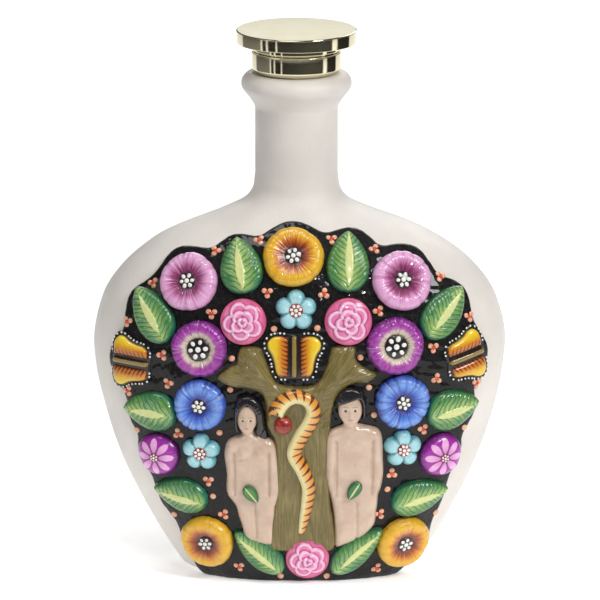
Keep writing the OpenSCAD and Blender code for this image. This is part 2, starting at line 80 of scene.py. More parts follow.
def share(z, column):
    """Cubic curve through the profile's shares at these heights."""
    heights, values = PROFILE[:, 0], PROFILE[:, column]
    before = np.maximum(np.arange(len(heights)) - 1, 0)
    after = np.minimum(np.arange(len(heights)) + 1, len(heights) - 1)
    slope = (values[after] - values[before]) / (heights[after] - heights[before])
    z = np.clip(z, 0, NECK_FOOT)
    i = np.clip(np.searchsorted(heights, z, side="right") - 1, 0, len(heights) - 2)
    step = heights[i + 1] - heights[i]
    t = (z - heights[i]) / step
    return (
        (2 * t**3 - 3 * t**2 + 1) * values[i]
        + (3 * t**2 - 2 * t**3) * values[i + 1]
        + (t**3 - 2 * t**2 + t) * step * slope[i]
        + (t**3 - t**2) * step * slope[i + 1]
    )


def half_width(z):
    return NECK_R + (BELLY_W - NECK_R) * share(z, 1)


def half_depth(z):
    return NECK_R + (BELLY_D - NECK_R) * share(z, 2)


def signed_power(value, exponent):
    return np.sign(value) * np.abs(value) ** exponent


def surface(s, c, z, t):
    """Point t above the bottle where the ring at z is cut at the angle of sine s and cosine c."""
    s, c, z, t = np.broadcast_arrays(s, c, z, t)
    wide, deep = half_width(z), half_depth(z)
    power = 2 + FLATNESS * share(z, 1)
    wider = half_width(z + 0.5) - half_width(z - 0.5)
    deeper = half_depth(z + 0.5) - half_depth(z - 0.5)
    bend = 2 - 2 / power
    normal = np.stack([
        signed_power(s, bend) / wide,
        -signed_power(c, bend) / deep,
        -s * s * wider / wide - c * c * deeper / deep,
    ], -1)
    normal /= np.linalg.norm(normal, axis=-1, keepdims=True)
    point = np.stack([wide * signed_power(s, 2 / power), -deep * signed_power(c, 2 / power), z], -1)
    return point + t[..., None] * normal, normal


def front(x, z, t=0.0):
    """Point t above the bottle's front at (x, z), and the normal there."""
    x, z = np.broadcast_arrays(np.asarray(x, float), np.asarray(z, float))
    power = 2 + FLATNESS * share(z, 1)
    reach = np.minimum(np.abs(x) / half_width(z), 0.999)
    s = np.sign(x) * reach ** (power / 2)
    return surface(s, np.sqrt(1 - s * s), z, t)


def on_front(points):
    """The (x, z) of the front under these points, looking along its normals."""
    x, z = points[..., 0], points[..., 2]
    for _ in range(6):
        foot, normal = front(x, z)
        lift = ((points - foot) * normal).sum(-1)
        x = points[..., 0] - lift * normal[..., 0]
        z = np.clip(points[..., 2] - lift * normal[..., 2], 0.5, NECK_FOOT - 1)
    return x, z


def wobble(points, size, amount, seed=1):
    """Smooth hand-made unevenness: a few crossing waves of about this size."""
    random = np.random.default_rng(seed)
    total = 0
    for _ in range(8):
        direction = random.normal(size=3)
        direction *= TURN / size * random.uniform(0.6, 1.5) / np.linalg.norm(direction)
        total = total + np.sin(points @ direction + random.uniform(0, TURN))
    return amount * total / 3


def ground_lumps(points):
    """How far the thumbed black slip rises or sinks at these points."""
    return wobble(points, 9, 0.22, 4) + wobble(points, 3.4, 0.14, 5)


def smooth(value, low, high):
    """0 below low, 1 above high and a soft step between."""
    t = np.clip((value - low) / (high - low), 0, 1)
    return t * t * (3 - 2 * t)


def spline(points, steps, closed=False):
    """Catmull-Rom curve through the points, with this many steps between each two."""
    points = np.asarray(points, float)
    if closed:
        padded = np.concatenate([points[-1:], points, points[:2]])
    else:
        padded = np.concatenate([points[:1], points, points[-1:]])
    spans = len(padded) - 3
    t = (np.arange(steps) / steps)[None, :, None]
    a, b, c, d = (padded[k:k + spans, None] for k in range(4))
    curve = 0.5 * (2 * b + t * (c - a) + t**2 * (2 * a - 5 * b + 4 * c - d) + t**3 * (3 * b - a - 3 * c + d))
    curve = curve.reshape(-1, points.shape[1])
    return curve if closed else np.concatenate([curve, points[-1:]])


# ---- Seats on the front, read from the CAD nodes ----

def node_points(node):
    """A CAD node's vertices in millimetres."""
    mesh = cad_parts[node].data
    points = np.zeros(len(mesh.vertices) * 3)
    mesh.vertices.foreach_get("co", points)
    return points.reshape(-1, 3) / MM


class Seat:
    """A spot on the ground: u runs across the front, v up it and h out of it, all turned by turn degrees."""

    def __init__(self, x, z, turn=0.0, base=GROUND_TOP, drape=1.0):
        self.x, self.z, self.base, self.drape = x, z, base, drape
        (self.origin, self.normal) = front(x, z, base)
        across = np.cross([0, 0, 1], self.normal)
        across /= np.linalg.norm(across)
        up = np.cross(self.normal, across)
        a = math.radians(turn)
        self.u = math.cos(a) * across + math.sin(a) * up
        self.v = math.cos(a) * up - math.sin(a) * across

    def at(self, u, v, h):
        """Points h above the ground; drape says how closely they follow its curve."""
        u, v, h = (np.asarray(k, float)[..., None] for k in np.broadcast_arrays(u, v, h))
        flat = self.origin + u * self.u + v * self.v
        x, z = on_front(flat)
        curved, normal = front(x, z, self.base)
        rise = self.drape * normal + (1 - self.drape) * self.normal
        rise /= np.linalg.norm(rise, axis=-1, keepdims=True)
        return flat + self.drape * (curved - flat) + h * rise


def seat_of(node, turn=0.0, base=GROUND_TOP, drape=1.0):
    """The seat under the middle of a CAD node, with the node's half length and half width there."""
    points = node_points(node)
    x, z = (points[:, 0].min() + points[:, 0].max()) / 2, (points[:, 2].min() + points[:, 2].max()) / 2
    for _ in range(8):
        seat = Seat(x, z, turn, base, drape)
        local = (points - seat.origin) @ np.stack([seat.u, seat.v], 1)
        low, high = local.min(0), local.max(0)
        shift = (low[0] + high[0]) / 2 * seat.u + (low[1] + high[1]) / 2 * seat.v
        x, z = x + shift[0], z + shift[2]
    return seat, (high - low) / 2


def islands(node):
    """The middle of each separate solid of a CAD node, in millimetres."""
    mesh = bmesh.new()
    mesh.from_mesh(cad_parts[node].data)
    bmesh.ops.remove_doubles(mesh, verts=mesh.verts, dist=1e-6)
    unseen = set(mesh.verts)
    middles = []
    while unseen:
        group, edge = set(), [unseen.pop()]
        while edge:
            vertex = edge.pop()
            group.add(vertex)
            for link in vertex.link_edges:
                other = link.other_vert(vertex)
                if other in unseen:
                    unseen.remove(other)
                    edge.append(other)
        middles.append(np.mean([vertex.co[:] for vertex in group], axis=0) / MM)
    mesh.free()
    return np.array(sorted(map(tuple, middles)))


# ---- Mesh building ----

class Clay:
    """Points, faces and paint marks gathered for one piece."""

    def __init__(self):
        self.points, self.place, self.mark, self.faces, self.numbers = [], [], [], [], []
        self.count = 0

    def add(self, points, faces, place=None, mark=None, number=0):
        points = np.asarray(points, float).reshape(-1, 3)
        blank = np.zeros_like(points)
        self.points.append(points)
        self.place.append(blank if place is None else np.asarray(place, float).reshape(-1, 3))
        self.mark.append(blank if mark is None else np.asarray(mark, float).reshape(-1, 3))
        self.faces += [[self.count + k for k in face] for face in faces]
        self.numbers += [number] * len(faces)
        self.count += len(points)

    def sheet(self, points, place=None, mark=None, number=0, caps=(False, False)):
        """A tube of rings, each row a closed ring. A cap closes the first or last ring."""
        rows, columns = points.shape[:2]
        at = np.arange(rows * columns).reshape(rows, columns)
        beside = np.roll(at, -1, 1)
        quads = np.stack([at[:-1], at[1:], beside[1:], beside[:-1]], -1).reshape(-1, 4).tolist()
        if caps[0]:
            quads.append(at[0].tolist())
        if caps[1]:
            quads.append(at[-1][::-1].tolist())
        self.add(points, quads, place, mark, number)

    def piece(self, name, materials, nodes, body="decanter", slot=None):
        """Makes the object, which rides on its body and stands for these CAD nodes."""
        mesh = bpy.data.meshes.new(name)
        mesh.from_pydata(np.concatenate(self.points) * MM, [], self.faces)
        mesh.update()
        for material in materials:
            mesh.materials.append(material)
        mesh.polygons.foreach_set("material_index", self.numbers)
        mesh.polygons.foreach_set("use_smooth", np.ones(len(self.faces), bool))
        for title, values in (("place", self.place), ("mark", self.mark)):
            layer = mesh.attributes.new(title, "FLOAT_VECTOR", "POINT")
            layer.data.foreach_set("vector", np.concatenate(values).astype(np.float32).ravel())
        shape = bmesh.new()
        shape.from_mesh(mesh)
        bmesh.ops.recalc_face_normals(shape, faces=shape.faces)
        shape.to_mesh(mesh)
        shape.free()
        piece = bpy.data.objects.new(name, mesh)
        bpy.context.scene.collection.objects.link(piece)
        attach(piece, body)
        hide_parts(*nodes)
        return piece


def lathe(section, sides=160, centre=(-NECK_LEAN, 0.0)):
    """Rings about the bottle's axis from [radius, height] rows."""
    angle = np.arange(sides) * TURN / sides
    radius, height = np.asarray(section, float).T
    return np.stack([
        centre[0] + radius[:, None] * np.cos(angle),
        centre[1] + radius[:, None] * np.sin(angle),
        np.repeat(height[:, None], sides, 1),
    ], -1)


def outline_distance(outline):
    """A function that gives how far a spot is inside a closed outline, or minus how far outside."""
    starts = np.asarray(outline, float)
    ends = np.roll(starts, -1, 0)

    def distance(u, v):
        nearest = np.full(np.shape(u), 1e9)
        inside = np.zeros(np.shape(u), bool)
        for (au, av), (bu, bv) in zip(starts, ends):
            run, climb = bu - au, bv - av
            t = np.clip(((u - au) * run + (v - av) * climb) / (run * run + climb * climb + 1e-12), 0, 1)
            nearest = np.minimum(nearest, np.hypot(u - au - t * run, v - av - t * climb))
            if climb:
                inside ^= ((av > v) != (bv > v)) & (u < au + run * (v - av) / climb)
        return np.where(inside, nearest, -nearest)

    return distance


def relief(clay, seat, reach, cell, distance, height, mark=None, floor=-1.6, number=0):
    """A closed relief on a seat: a fine grid cut to where distance is positive and raised by height.

    reach is the grid's (low u, high u, low v, high v). Each point keeps (u, v, distance) as its place.
    """
    u, v = np.meshgrid(np.arange(reach[0], reach[1] + cell, cell), np.arange(reach[2], reach[3] + cell, cell))
    depth = distance(u, v)
    down_v, down_u = np.gradient(depth, cell)
    steep = np.maximum(down_u**2 + down_v**2, 0.2)
    near = np.abs(depth) < 0.55 * cell
    u = np.where(near, u - depth * down_u / steep, u)
    v = np.where(near, v - depth * down_v / steep, v)
    depth = np.where(near, 0, depth)
    kept = depth >= 0
    whole = kept[:-1, :-1] & kept[:-1, 1:] & kept[1:, 1:] & kept[1:, :-1]
    at = np.arange(u.size).reshape(u.shape)
    quads = np.stack([at[:-1, :-1], at[:-1, 1:], at[1:, 1:], at[1:, :-1]], -1)[whole]
    used, quads = np.unique(quads, return_inverse=True)
    quads = quads.reshape(-1, 4)
    u, v, depth = u.ravel()[used], v.ravel()[used], depth.ravel()[used]
    edges = np.concatenate([quads[:, [k, (k + 1) % 4]] for k in range(4)])
    _, first, counts = np.unique(np.sort(edges, 1), axis=0, return_index=True, return_counts=True)
    rim = edges[first[counts == 1]]
    below = len(used)
    walls = np.stack([rim[:, 1], rim[:, 0], rim[:, 0] + below, rim[:, 1] + below], -1)
    top = seat.at(u, v, height(u, v, depth))
    bottom = seat.at(u, v, np.full_like(u, floor))
    place = np.stack([u, v, depth], -1)
    marks = np.zeros_like(place) if mark is None else np.stack(mark(u, v, depth), -1)
    faces = np.concatenate([quads, quads[:, ::-1] + below, walls])
    clay.add(
        np.concatenate([top, bottom]), faces.tolist(), np.concatenate([place, place]),
        np.concatenate([marks, marks]), number,
    )


def rounded(depth, radius, height):
    """Height of a quarter-round edge this far in from the rim."""
    t = np.clip(1 - depth / radius, 0, 1)
    return height * np.sqrt(1 - t * t)


def dome(clay, seat, u, v, radii, height, base=0.0, turn=0.0, number=0, rings=5, sides=18, place=None):
    """A low drop of paint, round or long, that stands on the seat."""
    angle = np.arange(sides) * TURN / sides
    climb = np.linspace(-0.35, 1, rings + 1)[:-1]
    wide = np.sqrt(1 - climb**2)[:, None]
    a, b = radii[0] * wide * np.cos(angle), radii[1] * wide * np.sin(angle)
    c, s = math.cos(turn), math.sin(turn)
    points = seat.at(u + c * a - s * b, v + s * a + c * b, base + height * climb[:, None] + 0 * a)
    peak = seat.at(u, v, base + height)
    count = rings * sides
    at = np.arange(count).reshape(rings, sides)
    beside = np.roll(at, -1, 1)
    faces = np.stack([at[:-1], beside[:-1], beside[1:], at[1:]], -1).reshape(-1, 4).tolist()
    faces += [[at[-1, k], beside[-1, k], count] for k in range(sides)]
    faces.append(at[0][::-1].tolist())
    places = None if place is None else np.tile(place, (count + 1, 1))
    clay.add(np.concatenate([points.reshape(-1, 3), peak.reshape(-1, 3)]), faces, places, None, number)


# ---- Materials ----

def srgb(red, green, blue):
    """Screen colour from 0 to 255 as linear light."""
    shares = [k / 255 for k in (red, green, blue)]
    return tuple(k / 12.92 if k <= 0.04045 else ((k + 0.055) / 1.055) ** 2.4 for k in shares) + (1.0,)


class Socket:
    """A shader output that takes part in sums like a number."""

    def __init__(self, graph, output):
        self.graph, self.output = graph, output

    def __add__(self, other):
        return self.graph.math("ADD", self, other)

    def __sub__(self, other):
        return self.graph.math("SUBTRACT", self, other)

    def __rsub__(self, other):
        return self.graph.math("SUBTRACT", other, self)

    def __mul__(self, other):
        return self.graph.math("MULTIPLY", self, other)

    def __truediv__(self, other):
        return self.graph.math("DIVIDE", self, other)

    def __pow__(self, other):
        return self.graph.math("POWER", self, other)

    __radd__, __rmul__ = __add__, __mul__


class Graph:
    """A material's node tree, built by calls that return sockets."""

    def __init__(self, name, **finish):
        self.material = bpy.data.materials.new(name)
        self.material.use_nodes = True
        self.tree = self.material.node_tree
        self.surface = self.tree.nodes["Principled BSDF"]
        for title, value in finish.items():
            self.surface.inputs[title.replace("_", " ")].default_value = value

    def node(self, kind, inputs=(), **settings):
        node = self.tree.nodes.new("ShaderNode" + kind)
        for title, value in settings.items():
            setattr(node, title, value)
        for slot, value in dict(inputs).items():
            self.feed(node.inputs[slot], value)
        return node

    def feed(self, slot, value):
        if isinstance(value, Socket):
            self.tree.links.new(value.output, slot)
        else:
            slot.default_value = value

    def math(self, operation, *values):
        node = self.node("Math", enumerate(values), operation=operation)
        return Socket(self, node.outputs[0])

    def attribute(self, name):
        """The three numbers of a paint mark."""
        node = self.node("Attribute", attribute_name=name)
        parts = self.node("SeparateXYZ", {0: Socket(self, node.outputs["Vector"])})
        return [Socket(self, k) for k in parts.outputs]

    def vector(self, x, y, z=0.0):
        return Socket(self, self.node("CombineXYZ", {0: x, 1: y, 2: z}).outputs[0])

    def spot(self):
        """The shaded point in the part's own frame, in metres."""
        return Socket(self, self.node("TexCoord").outputs["Object"])

    def noise(self, scale, coordinates=None, detail=3.0, roughness=0.55, distortion=0.0):
        inputs = {"Vector": coordinates or self.spot(), "Scale": scale, "Detail": detail}
        inputs.update({"Roughness": roughness, "Distortion": distortion})
        return Socket(self, self.node("TexNoise", inputs).outputs[0])

    def step(self, value, low, high):
        """0 below low, 1 above high and smooth between; low may be the bigger one."""
        inputs = {"Value": value, "From Min": low, "From Max": high}
        node = self.node("MapRange", inputs, interpolation_type="SMOOTHSTEP")
        return Socket(self, node.outputs[0])

    def mix(self, share, first, second, blend="MIX"):
        """Colour between two colours."""
        node = self.node("Mix", data_type="RGBA", blend_type=blend)
        for slot, value in ((0, share), (6, first), (7, second)):
            self.feed(node.inputs[slot], value)
        return Socket(self, node.outputs[2])

    def ramp(self, value, stops, interpolation="LINEAR"):
        """Colour along [place, colour] stops."""
        node = self.node("ValToRGB", {0: value})
        node.color_ramp.interpolation = interpolation
        elements = node.color_ramp.elements
        while len(elements) < len(stops):
            elements.new(0.5)
        for element, (place, colour) in zip(elements, stops):
            element.position = place
            element.color = colour
        return Socket(self, node.outputs[0])

    def bump(self, height, distance, strength=1.0):
        """Fine relief of this height in metres."""
        inputs = {"Height": height, "Distance": distance, "Strength": strength}
        self.feed(self.surface.inputs["Normal"], Socket(self, self.node("Bump", inputs).outputs[0]))

    def finish(self, colour, roughness=None):
        self.feed(self.surface.inputs["Base Color"], colour)
        if roughness is not None:
            self.feed(self.surface.inputs["Roughness"], roughness)
        return self.material

    def polar(self):
        """A flower's own coordinates: radius share, and a vector that runs round with the petals."""
        x, y, fold = self.attribute("place")
        radius = (x * x + y * y) ** 0.5
        safe = self.math("MAXIMUM", radius, 0.001)
        return radius, x / safe, y / safe, fold


LACQUER = {"Roughness": 0.32, "Coat_Weight": 0.7, "Coat_Roughness": 0.07, "Specular_IOR_Level": 0.35}
BLACK = srgb(17, 15, 17)
WHITE = srgb(245, 243, 238)


def lacquered(name, **finish):
    """A graph with the thick gloss varnish that covers all the painted clay."""
    return Graph(name, **{**LACQUER, **finish})


def streaks(graph, across, down, radius, count, length=0.5):
    """Brush streaks that run out from a flower's middle; count is about how many go round."""
    coordinates = graph.vector(across * (count / TURN), down * (count / TURN), radius * length)
    return graph.noise(1.0, coordinates, detail=4.0, roughness=0.65)


def petal_paint(name, stops, count=60, spread=0.4, fold_shade=0.0, fold_shade_colour=BLACK, spots=0.0):
    """Rings of colour whose borders break into brush streaks, with painted shade in the folds and white dabs
    painted on the streaks as highlights.
    """
    graph = lacquered(name)
    radius, across, down, fold = graph.polar()
    brush = streaks(graph, across, down, radius, count)
    wide = streaks(graph, across, down, radius, count / 4)
    uneven = radius + (brush - 0.5) * spread + (wide - 0.5) * (spread * 0.6)
    colour = graph.ramp(uneven, stops)
    tone = graph.noise(260.0, detail=4.0)
    colour = graph.mix(graph.step(tone, 0.5, 0.8) * 0.12, colour, WHITE)
    # Painted shade: the folds are darkened towards the fold colour.
    if fold_shade:
        colour = graph.mix(graph.step(fold, 0.15, 0.9) * fold_shade, colour, fold_shade_colour)
    # Painted highlights: white dabs on the brush streaks stand in for glints.
    if spots:
        painted_glints = graph.step(brush, 0.58, 0.74) * graph.step(radius, 0.5, 0.72)
        colour = graph.mix(painted_glints * spots, colour, WHITE)
    graph.bump(brush + tone * 1.5 + graph.noise(900.0) * 0.4, 0.00026)
    return graph.finish(colour)


def sunflower_paint():
    return petal_paint("sunflower_paint", [
        (0.24, srgb(58, 14, 6)), (0.36, srgb(112, 34, 10)), (0.48, srgb(166, 72, 16)),
        (0.6, srgb(210, 134, 22)), (0.72, srgb(228, 174, 28)), (1.0, srgb(222, 172, 34)),
    ], count=84, spread=0.42, fold_shade=0.15, fold_shade_colour=srgb(176, 98, 8), spots=0.12)


def pink_paint():
    return petal_paint("pink_flower_paint", [
        (0.24, srgb(78, 14, 50)), (0.36, srgb(116, 28, 78)), (0.48, srgb(150, 62, 112)),
        (0.62, srgb(204, 130, 178)), (0.76, srgb(226, 168, 210)), (1.0, srgb(222, 162, 206)),
    ], count=72, spread=0.44, fold_shade=0.3, fold_shade_colour=srgb(160, 70, 132), spots=0.4)


def anemone_paint():
    return petal_paint("anemone_paint", [
        (0.4, srgb(150, 128, 118)), (0.46, srgb(204, 190, 168)), (0.56, srgb(206, 184, 172)),
        (0.64, srgb(168, 84, 160)), (0.78, srgb(160, 34, 160)), (1.0, srgb(108, 22, 118)),
    ], count=60, spread=0.24, fold_shade=0.2, fold_shade_colour=srgb(84, 16, 98), spots=0.4)


def blue_paint():
    return petal_paint("blue_flower_paint", [
        (0.26, srgb(22, 34, 112)), (0.4, srgb(40, 68, 172)), (0.56, srgb(84, 128, 216)),
        (0.74, srgb(116, 158, 230)), (1.0, srgb(58, 92, 190)),
    ], count=56, spread=0.36, fold_shade=0.4, fold_shade_colour=srgb(26, 40, 122), spots=0.45)


def star_paint():
    return petal_paint("star_flower_paint", [
        (0.2, srgb(160, 208, 218)), (0.5, srgb(172, 218, 224)), (0.8, srgb(150, 206, 214)),
        (1.0, srgb(104, 172, 184)),
    ], count=40, spread=0.34, fold_shade=0.7, fold_shade_colour=srgb(66, 138, 150), spots=0.5)


def rose_paint():
    """Pink clay: pale on each petal's lip, with deep pink painted shade in the folds under it."""
    graph = lacquered("rose_paint")
    lip, depth, radius = graph.attribute("place")
    brush = graph.noise(420.0, detail=4.0)
    colour = graph.ramp(radius + (brush - 0.5) * 0.2, [
        (0.0, srgb(234, 156, 200)), (0.5, srgb(226, 132, 184)), (0.8, srgb(220, 112, 164)),
        (1.0, srgb(208, 82, 122)),
    ])
    # Painted shade: deep pink in the crevice under each petal's lip.
    colour = graph.mix(graph.step(depth + (brush - 0.5) * 0.4, 0.3, 0.9) * 0.8, colour, srgb(184, 48, 108))
    colour = graph.mix(graph.step(lip + (brush - 0.5) * 1.1, 0.25, 0.95) * 0.85, colour, srgb(246, 206, 228))
    graph.bump(brush * 1.4 + graph.noise(900.0) * 0.5, 0.00025)
    return graph.finish(colour)


def daisy_paint(petals=8):
    """A violet dome with pale teardrop petals brushed on it."""
    graph = lacquered("daisy_paint")
    radius, across, down, _ = graph.polar()
    x, y, _ = graph.attribute("place")
    angle = graph.math("ARCTAN2", y, x)
    turn = graph.math("FRACT", angle * (petals / TURN) + 0.5) - 0.5
    sideways = graph.math("ABSOLUTE", turn) * radius * (TURN / petals)
    along = (radius - 0.2) / 0.66
    inside = graph.math("MAXIMUM", along * (1.0 - along), 0.0)
    width = (inside * (0.3 + along)) ** 0.5 * 0.34
    petal = graph.step(width - sideways + (graph.noise(500.0) - 0.5) * 0.03, -0.012, 0.02)
    brush = streaks(graph, across, down, radius, 50)
    base = graph.ramp(radius + (brush - 0.5) * 0.3, [
        (0.0, srgb(92, 12, 86)), (0.5, srgb(140, 26, 136)), (0.8, srgb(164, 40, 164)),
        (1.0, srgb(92, 16, 98)),
    ])
    pale = graph.ramp(along + (brush - 0.5) * 0.6, [(0.0, srgb(206, 116, 190)), (0.6, srgb(232, 170, 218))])
    graph.bump(petal * 0.6 + brush * 0.4, 0.0002)
    return graph.finish(graph.mix(petal, base, pale))


def leaf_paint():
    """Green with light strokes between dark veins, a darker rim and a cream lens for the midrib."""
    graph = lacquered("leaf_paint")
    along, across, depth = graph.attribute("place")
    lens, vein, half = graph.attribute("mark")
    fuzz = graph.noise(520.0, detail=4.0)
    cloud = graph.noise(140.0, detail=3.0)
    side = graph.vector(vein * 2.2, across * 0.14, graph.math("SIGN", across))
    stroke = graph.noise(2.0, side, detail=5.0, roughness=0.7)
    groove = graph.math("COSINE", vein * TURN) * -0.5 + 0.5
    outer = graph.math("ABSOLUTE", across) / graph.math("MAXIMUM", half, 1.0)
    green = graph.mix(graph.step(cloud, 0.35, 0.65), srgb(52, 118, 66), srgb(84, 140, 66))
    fresh = graph.mix(graph.step(cloud, 0.35, 0.65), srgb(136, 184, 116), srgb(170, 200, 112))
    light = graph.step(stroke + (0.5 - outer) * 0.5, 0.38, 0.72) * graph.step(depth, 0.4, 2.4)
    colour = graph.mix(light, green, fresh)
    dark = graph.step(groove + (stroke - 0.5) * 0.9, 0.62, 1.0) * 0.65
    colour = graph.mix(dark, colour, srgb(34, 92, 58))
    rim = graph.step(depth + (stroke - 0.5) * 1.6, 1.5, 0.1)
    teal = graph.mix(graph.step(along, -4.0, -11.0), srgb(20, 84, 52), srgb(24, 112, 96))
    colour = graph.mix(rim * 0.85, colour, teal)
    cream = graph.mix(fuzz, srgb(196, 206, 128), srgb(228, 228, 160))
    colour = graph.mix(graph.step(lens + (fuzz - 0.5) * 0.35, -0.08, 0.1), colour, cream)
    graph.bump(light * 0.4 + fuzz * 0.8 + cloud * 1.6, 0.0003)
    return graph.finish(colour)


def slip_paint():
    """The black ground, thick with lacquer over brushed and thumbed clay."""
    graph = lacquered("black_ground_paint", Roughness=0.3, Coat_Weight=0.45, Coat_Roughness=0.03,
                      Specular_IOR_Level=0.15)
    tone = graph.noise(160.0, detail=5.0)
    thumbed = graph.noise(420.0, detail=5.0, roughness=0.6, distortion=0.6)
    graph.bump(thumbed + graph.noise(1500.0, detail=3.0) * 0.3, 0.0008)
    return graph.finish(graph.mix(graph.step(tone, 0.3, 0.8), srgb(6, 5, 6), srgb(20, 17, 18)))


def bark_paint():
    """Olive and brown brush marks that run up the trunk and out along the boughs."""
    graph = lacquered("bark_paint", Roughness=0.36, Coat_Weight=0.6, Coat_Roughness=0.12)
    along, side, depth = graph.attribute("mark")
    grain = graph.noise(1.0, graph.vector(side * 1.5, along * 0.09, 0.0), detail=6.0, roughness=0.65)
    cloud = graph.noise(90.0, detail=3.0)
    colour = graph.ramp(grain * 0.7 + cloud * 0.3, [
        (0.32, srgb(84, 70, 30)), (0.45, srgb(110, 96, 46)), (0.55, srgb(128, 114, 60)),
        (0.7, srgb(158, 142, 90)),
    ])
    colour = graph.mix(graph.step(depth, 1.4, 0.0) * 0.5, colour, srgb(74, 62, 30))
    graph.bump(grain + cloud, 0.0006)
    return graph.finish(colour)


def snake_paint():
    """Cream belly on one side, orange back on the other with dark claw-shaped strokes."""
    graph = lacquered("snake_paint")
    length, turn, _ = graph.attribute("place")
    fuzz = graph.noise(600.0, detail=4.0)
    back = graph.step(turn + (fuzz - 0.5) * 0.12, 0.3, 0.5)
    cream = graph.mix(fuzz, srgb(222, 208, 140), srgb(242, 234, 180))
    orange = graph.mix(graph.step(turn, 0.4, 0.85), srgb(232, 182, 104), srgb(218, 144, 52))
    comb = graph.math("FRACT", length * 0.3 - turn * 0.7)
    claw = graph.step(0.5 - graph.math("ABSOLUTE", comb - 0.5) * 2.0 + turn * 0.66, 0.6, 0.74)
    claw = claw * graph.step(turn + (fuzz - 0.5) * 0.14, 0.28, 0.4)
    colour = graph.mix(claw * 0.95, graph.mix(back, cream, orange), srgb(78, 30, 8))
    graph.bump(fuzz + claw * 0.3, 0.00015)
    return graph.finish(colour)


def wing_paint():
    """Butterfly cells: yellow lobes that turn orange and brown-barred towards the body."""
    graph = lacquered("wing_paint")
    forward, side, depth = graph.attribute("place")
    sideways = graph.math("ABSOLUTE", side)
    fuzz = graph.noise(500.0, detail=4.0)
    colour = graph.ramp(sideways / 13.0 + (fuzz - 0.5) * 0.16, [
        (0.22, srgb(176, 84, 12)), (0.42, srgb(206, 122, 20)), (0.62, srgb(228, 186, 34)),
        (0.9, srgb(238, 210, 52)),
    ])
    comb = graph.math("FRACT", (forward - sideways * 0.45) * 0.5 + (fuzz - 0.5) * 0.25)
    bar = graph.step(0.5 - graph.math("ABSOLUTE", comb - 0.5) * 2.0 + (6.4 - sideways) * 0.16, 0.42, 0.62)
    bar = bar * graph.step(sideways + (fuzz - 0.5) * 1.4, 8.6, 6.4)
    colour = graph.mix(bar * 0.9, colour, srgb(66, 22, 6))
    colour = graph.mix(graph.step(depth, 0.5, 0.0) * 0.8, colour, srgb(96, 54, 14))
    graph.bump(fuzz * 0.6 + bar * 0.3, 0.0002)
    return graph.finish(colour)


def body_paint():
    """A butterfly's body: olive down the middle between two brown bars."""
    graph = lacquered("butterfly_body_paint")
    _, side, _ = graph.attribute("place")
    fuzz = graph.noise(500.0)
    edge = graph.step(graph.math("ABSOLUTE", side) + (fuzz - 0.5) * 0.4, 0.75, 1.0)
    graph.bump(fuzz, 0.0002)
    return graph.finish(graph.mix(edge, srgb(140, 122, 62), srgb(52, 28, 10)))


def plain_paint(name, dark, light, scale=420.0, relief_height=0.00018, **finish):
    """One brushed colour, with the slight unevenness of a hand-laid coat."""
    graph = lacquered(name, **finish)
    tone = graph.noise(scale, detail=5.0, roughness=0.6)
    graph.bump(graph.noise(scale * 2.2, detail=4.0), relief_height)
    return graph.finish(graph.mix(graph.step(tone, 0.32, 0.68), dark, light))


def apple_paint():
    graph = lacquered("apple_paint")
    tone = graph.noise(300.0, detail=5.0)
    graph.bump(graph.noise(700.0), 0.0002)
    return graph.finish(graph.ramp(tone, [
        (0.3, srgb(104, 20, 16)), (0.5, srgb(146, 36, 28)), (0.72, srgb(182, 66, 44)),
    ]))


def hair_paint():
    """Glossy black with strands combed into it."""
    graph = lacquered("hair_paint", Roughness=0.26, Coat_Weight=0.9, Coat_Roughness=0.08)
    _, _, strand = graph.attribute("mark")
    fine = graph.noise(1.0, graph.vector(strand * 3.0, 0.0, 0.0), detail=5.0)
    graph.bump(fine, 0.0001)
    return graph.finish(graph.mix(graph.step(fine, 0.4, 0.7), srgb(12, 10, 14), srgb(34, 28, 34)))


def bisque():
    """Unglazed off-white slip: faint mottling, fine grain and a few rubbed spots."""
    graph = Graph("bisque_clay", Roughness=0.5, Specular_IOR_Level=0.45, Sheen_Weight=0.1)
    cloud = graph.noise(22.0, detail=4.0)
    grain = graph.noise(650.0, detail=6.0, roughness=0.7)
    colour = graph.mix(graph.step(cloud, 0.35, 0.68), srgb(220, 214, 207), srgb(231, 225, 217))
    colour = graph.mix(graph.step(grain, 0.62, 0.78) * 0.25, colour, srgb(196, 186, 174))
    graph.bump(grain + graph.noise(2400.0) * 0.5, 0.00016)
    return graph.finish(colour, graph.step(graph.noise(40.0), 0.3, 0.8) * 0.14 + 0.4)


def gilt(name, rough, dark, light):
    """Pale gold plate with hairline turning marks."""
    graph = Graph(name, Metallic=1.0, Roughness=rough)
    x, y, z = (Socket(graph, k) for k in graph.node("SeparateXYZ", {0: graph.spot()}).outputs)
    across = x + NECK_LEAN * MM
    radius = (across * across + y * y) ** 0.5
    turned = graph.noise(1.0, graph.vector(radius * 5200.0, z * 5200.0), detail=3.0)
    haze = graph.noise(120.0, detail=4.0)
    graph.bump(turned, 0.00002, 0.3)
    return graph.finish(graph.mix(haze, dark, light), graph.step(haze, 0.3, 0.75) * 0.05 + rough)


def cork_grain():
    graph = Graph("cork_grain", Roughness=0.85)
    cells = graph.noise(700.0, detail=6.0, roughness=0.7)
    pits = graph.step(graph.noise(330.0, detail=2.0), 0.6, 0.7)
    graph.bump(cells - pits * 0.8, 0.0005)
    colour = graph.ramp(cells, [
        (0.3, srgb(150, 110, 72)), (0.55, srgb(192, 150, 104)), (0.8, srgb(212, 176, 130)),
    ])
    return graph.finish(graph.mix(pits * 0.7, colour, srgb(96, 62, 38)))


# ---- Bottle, ground and stopper ----

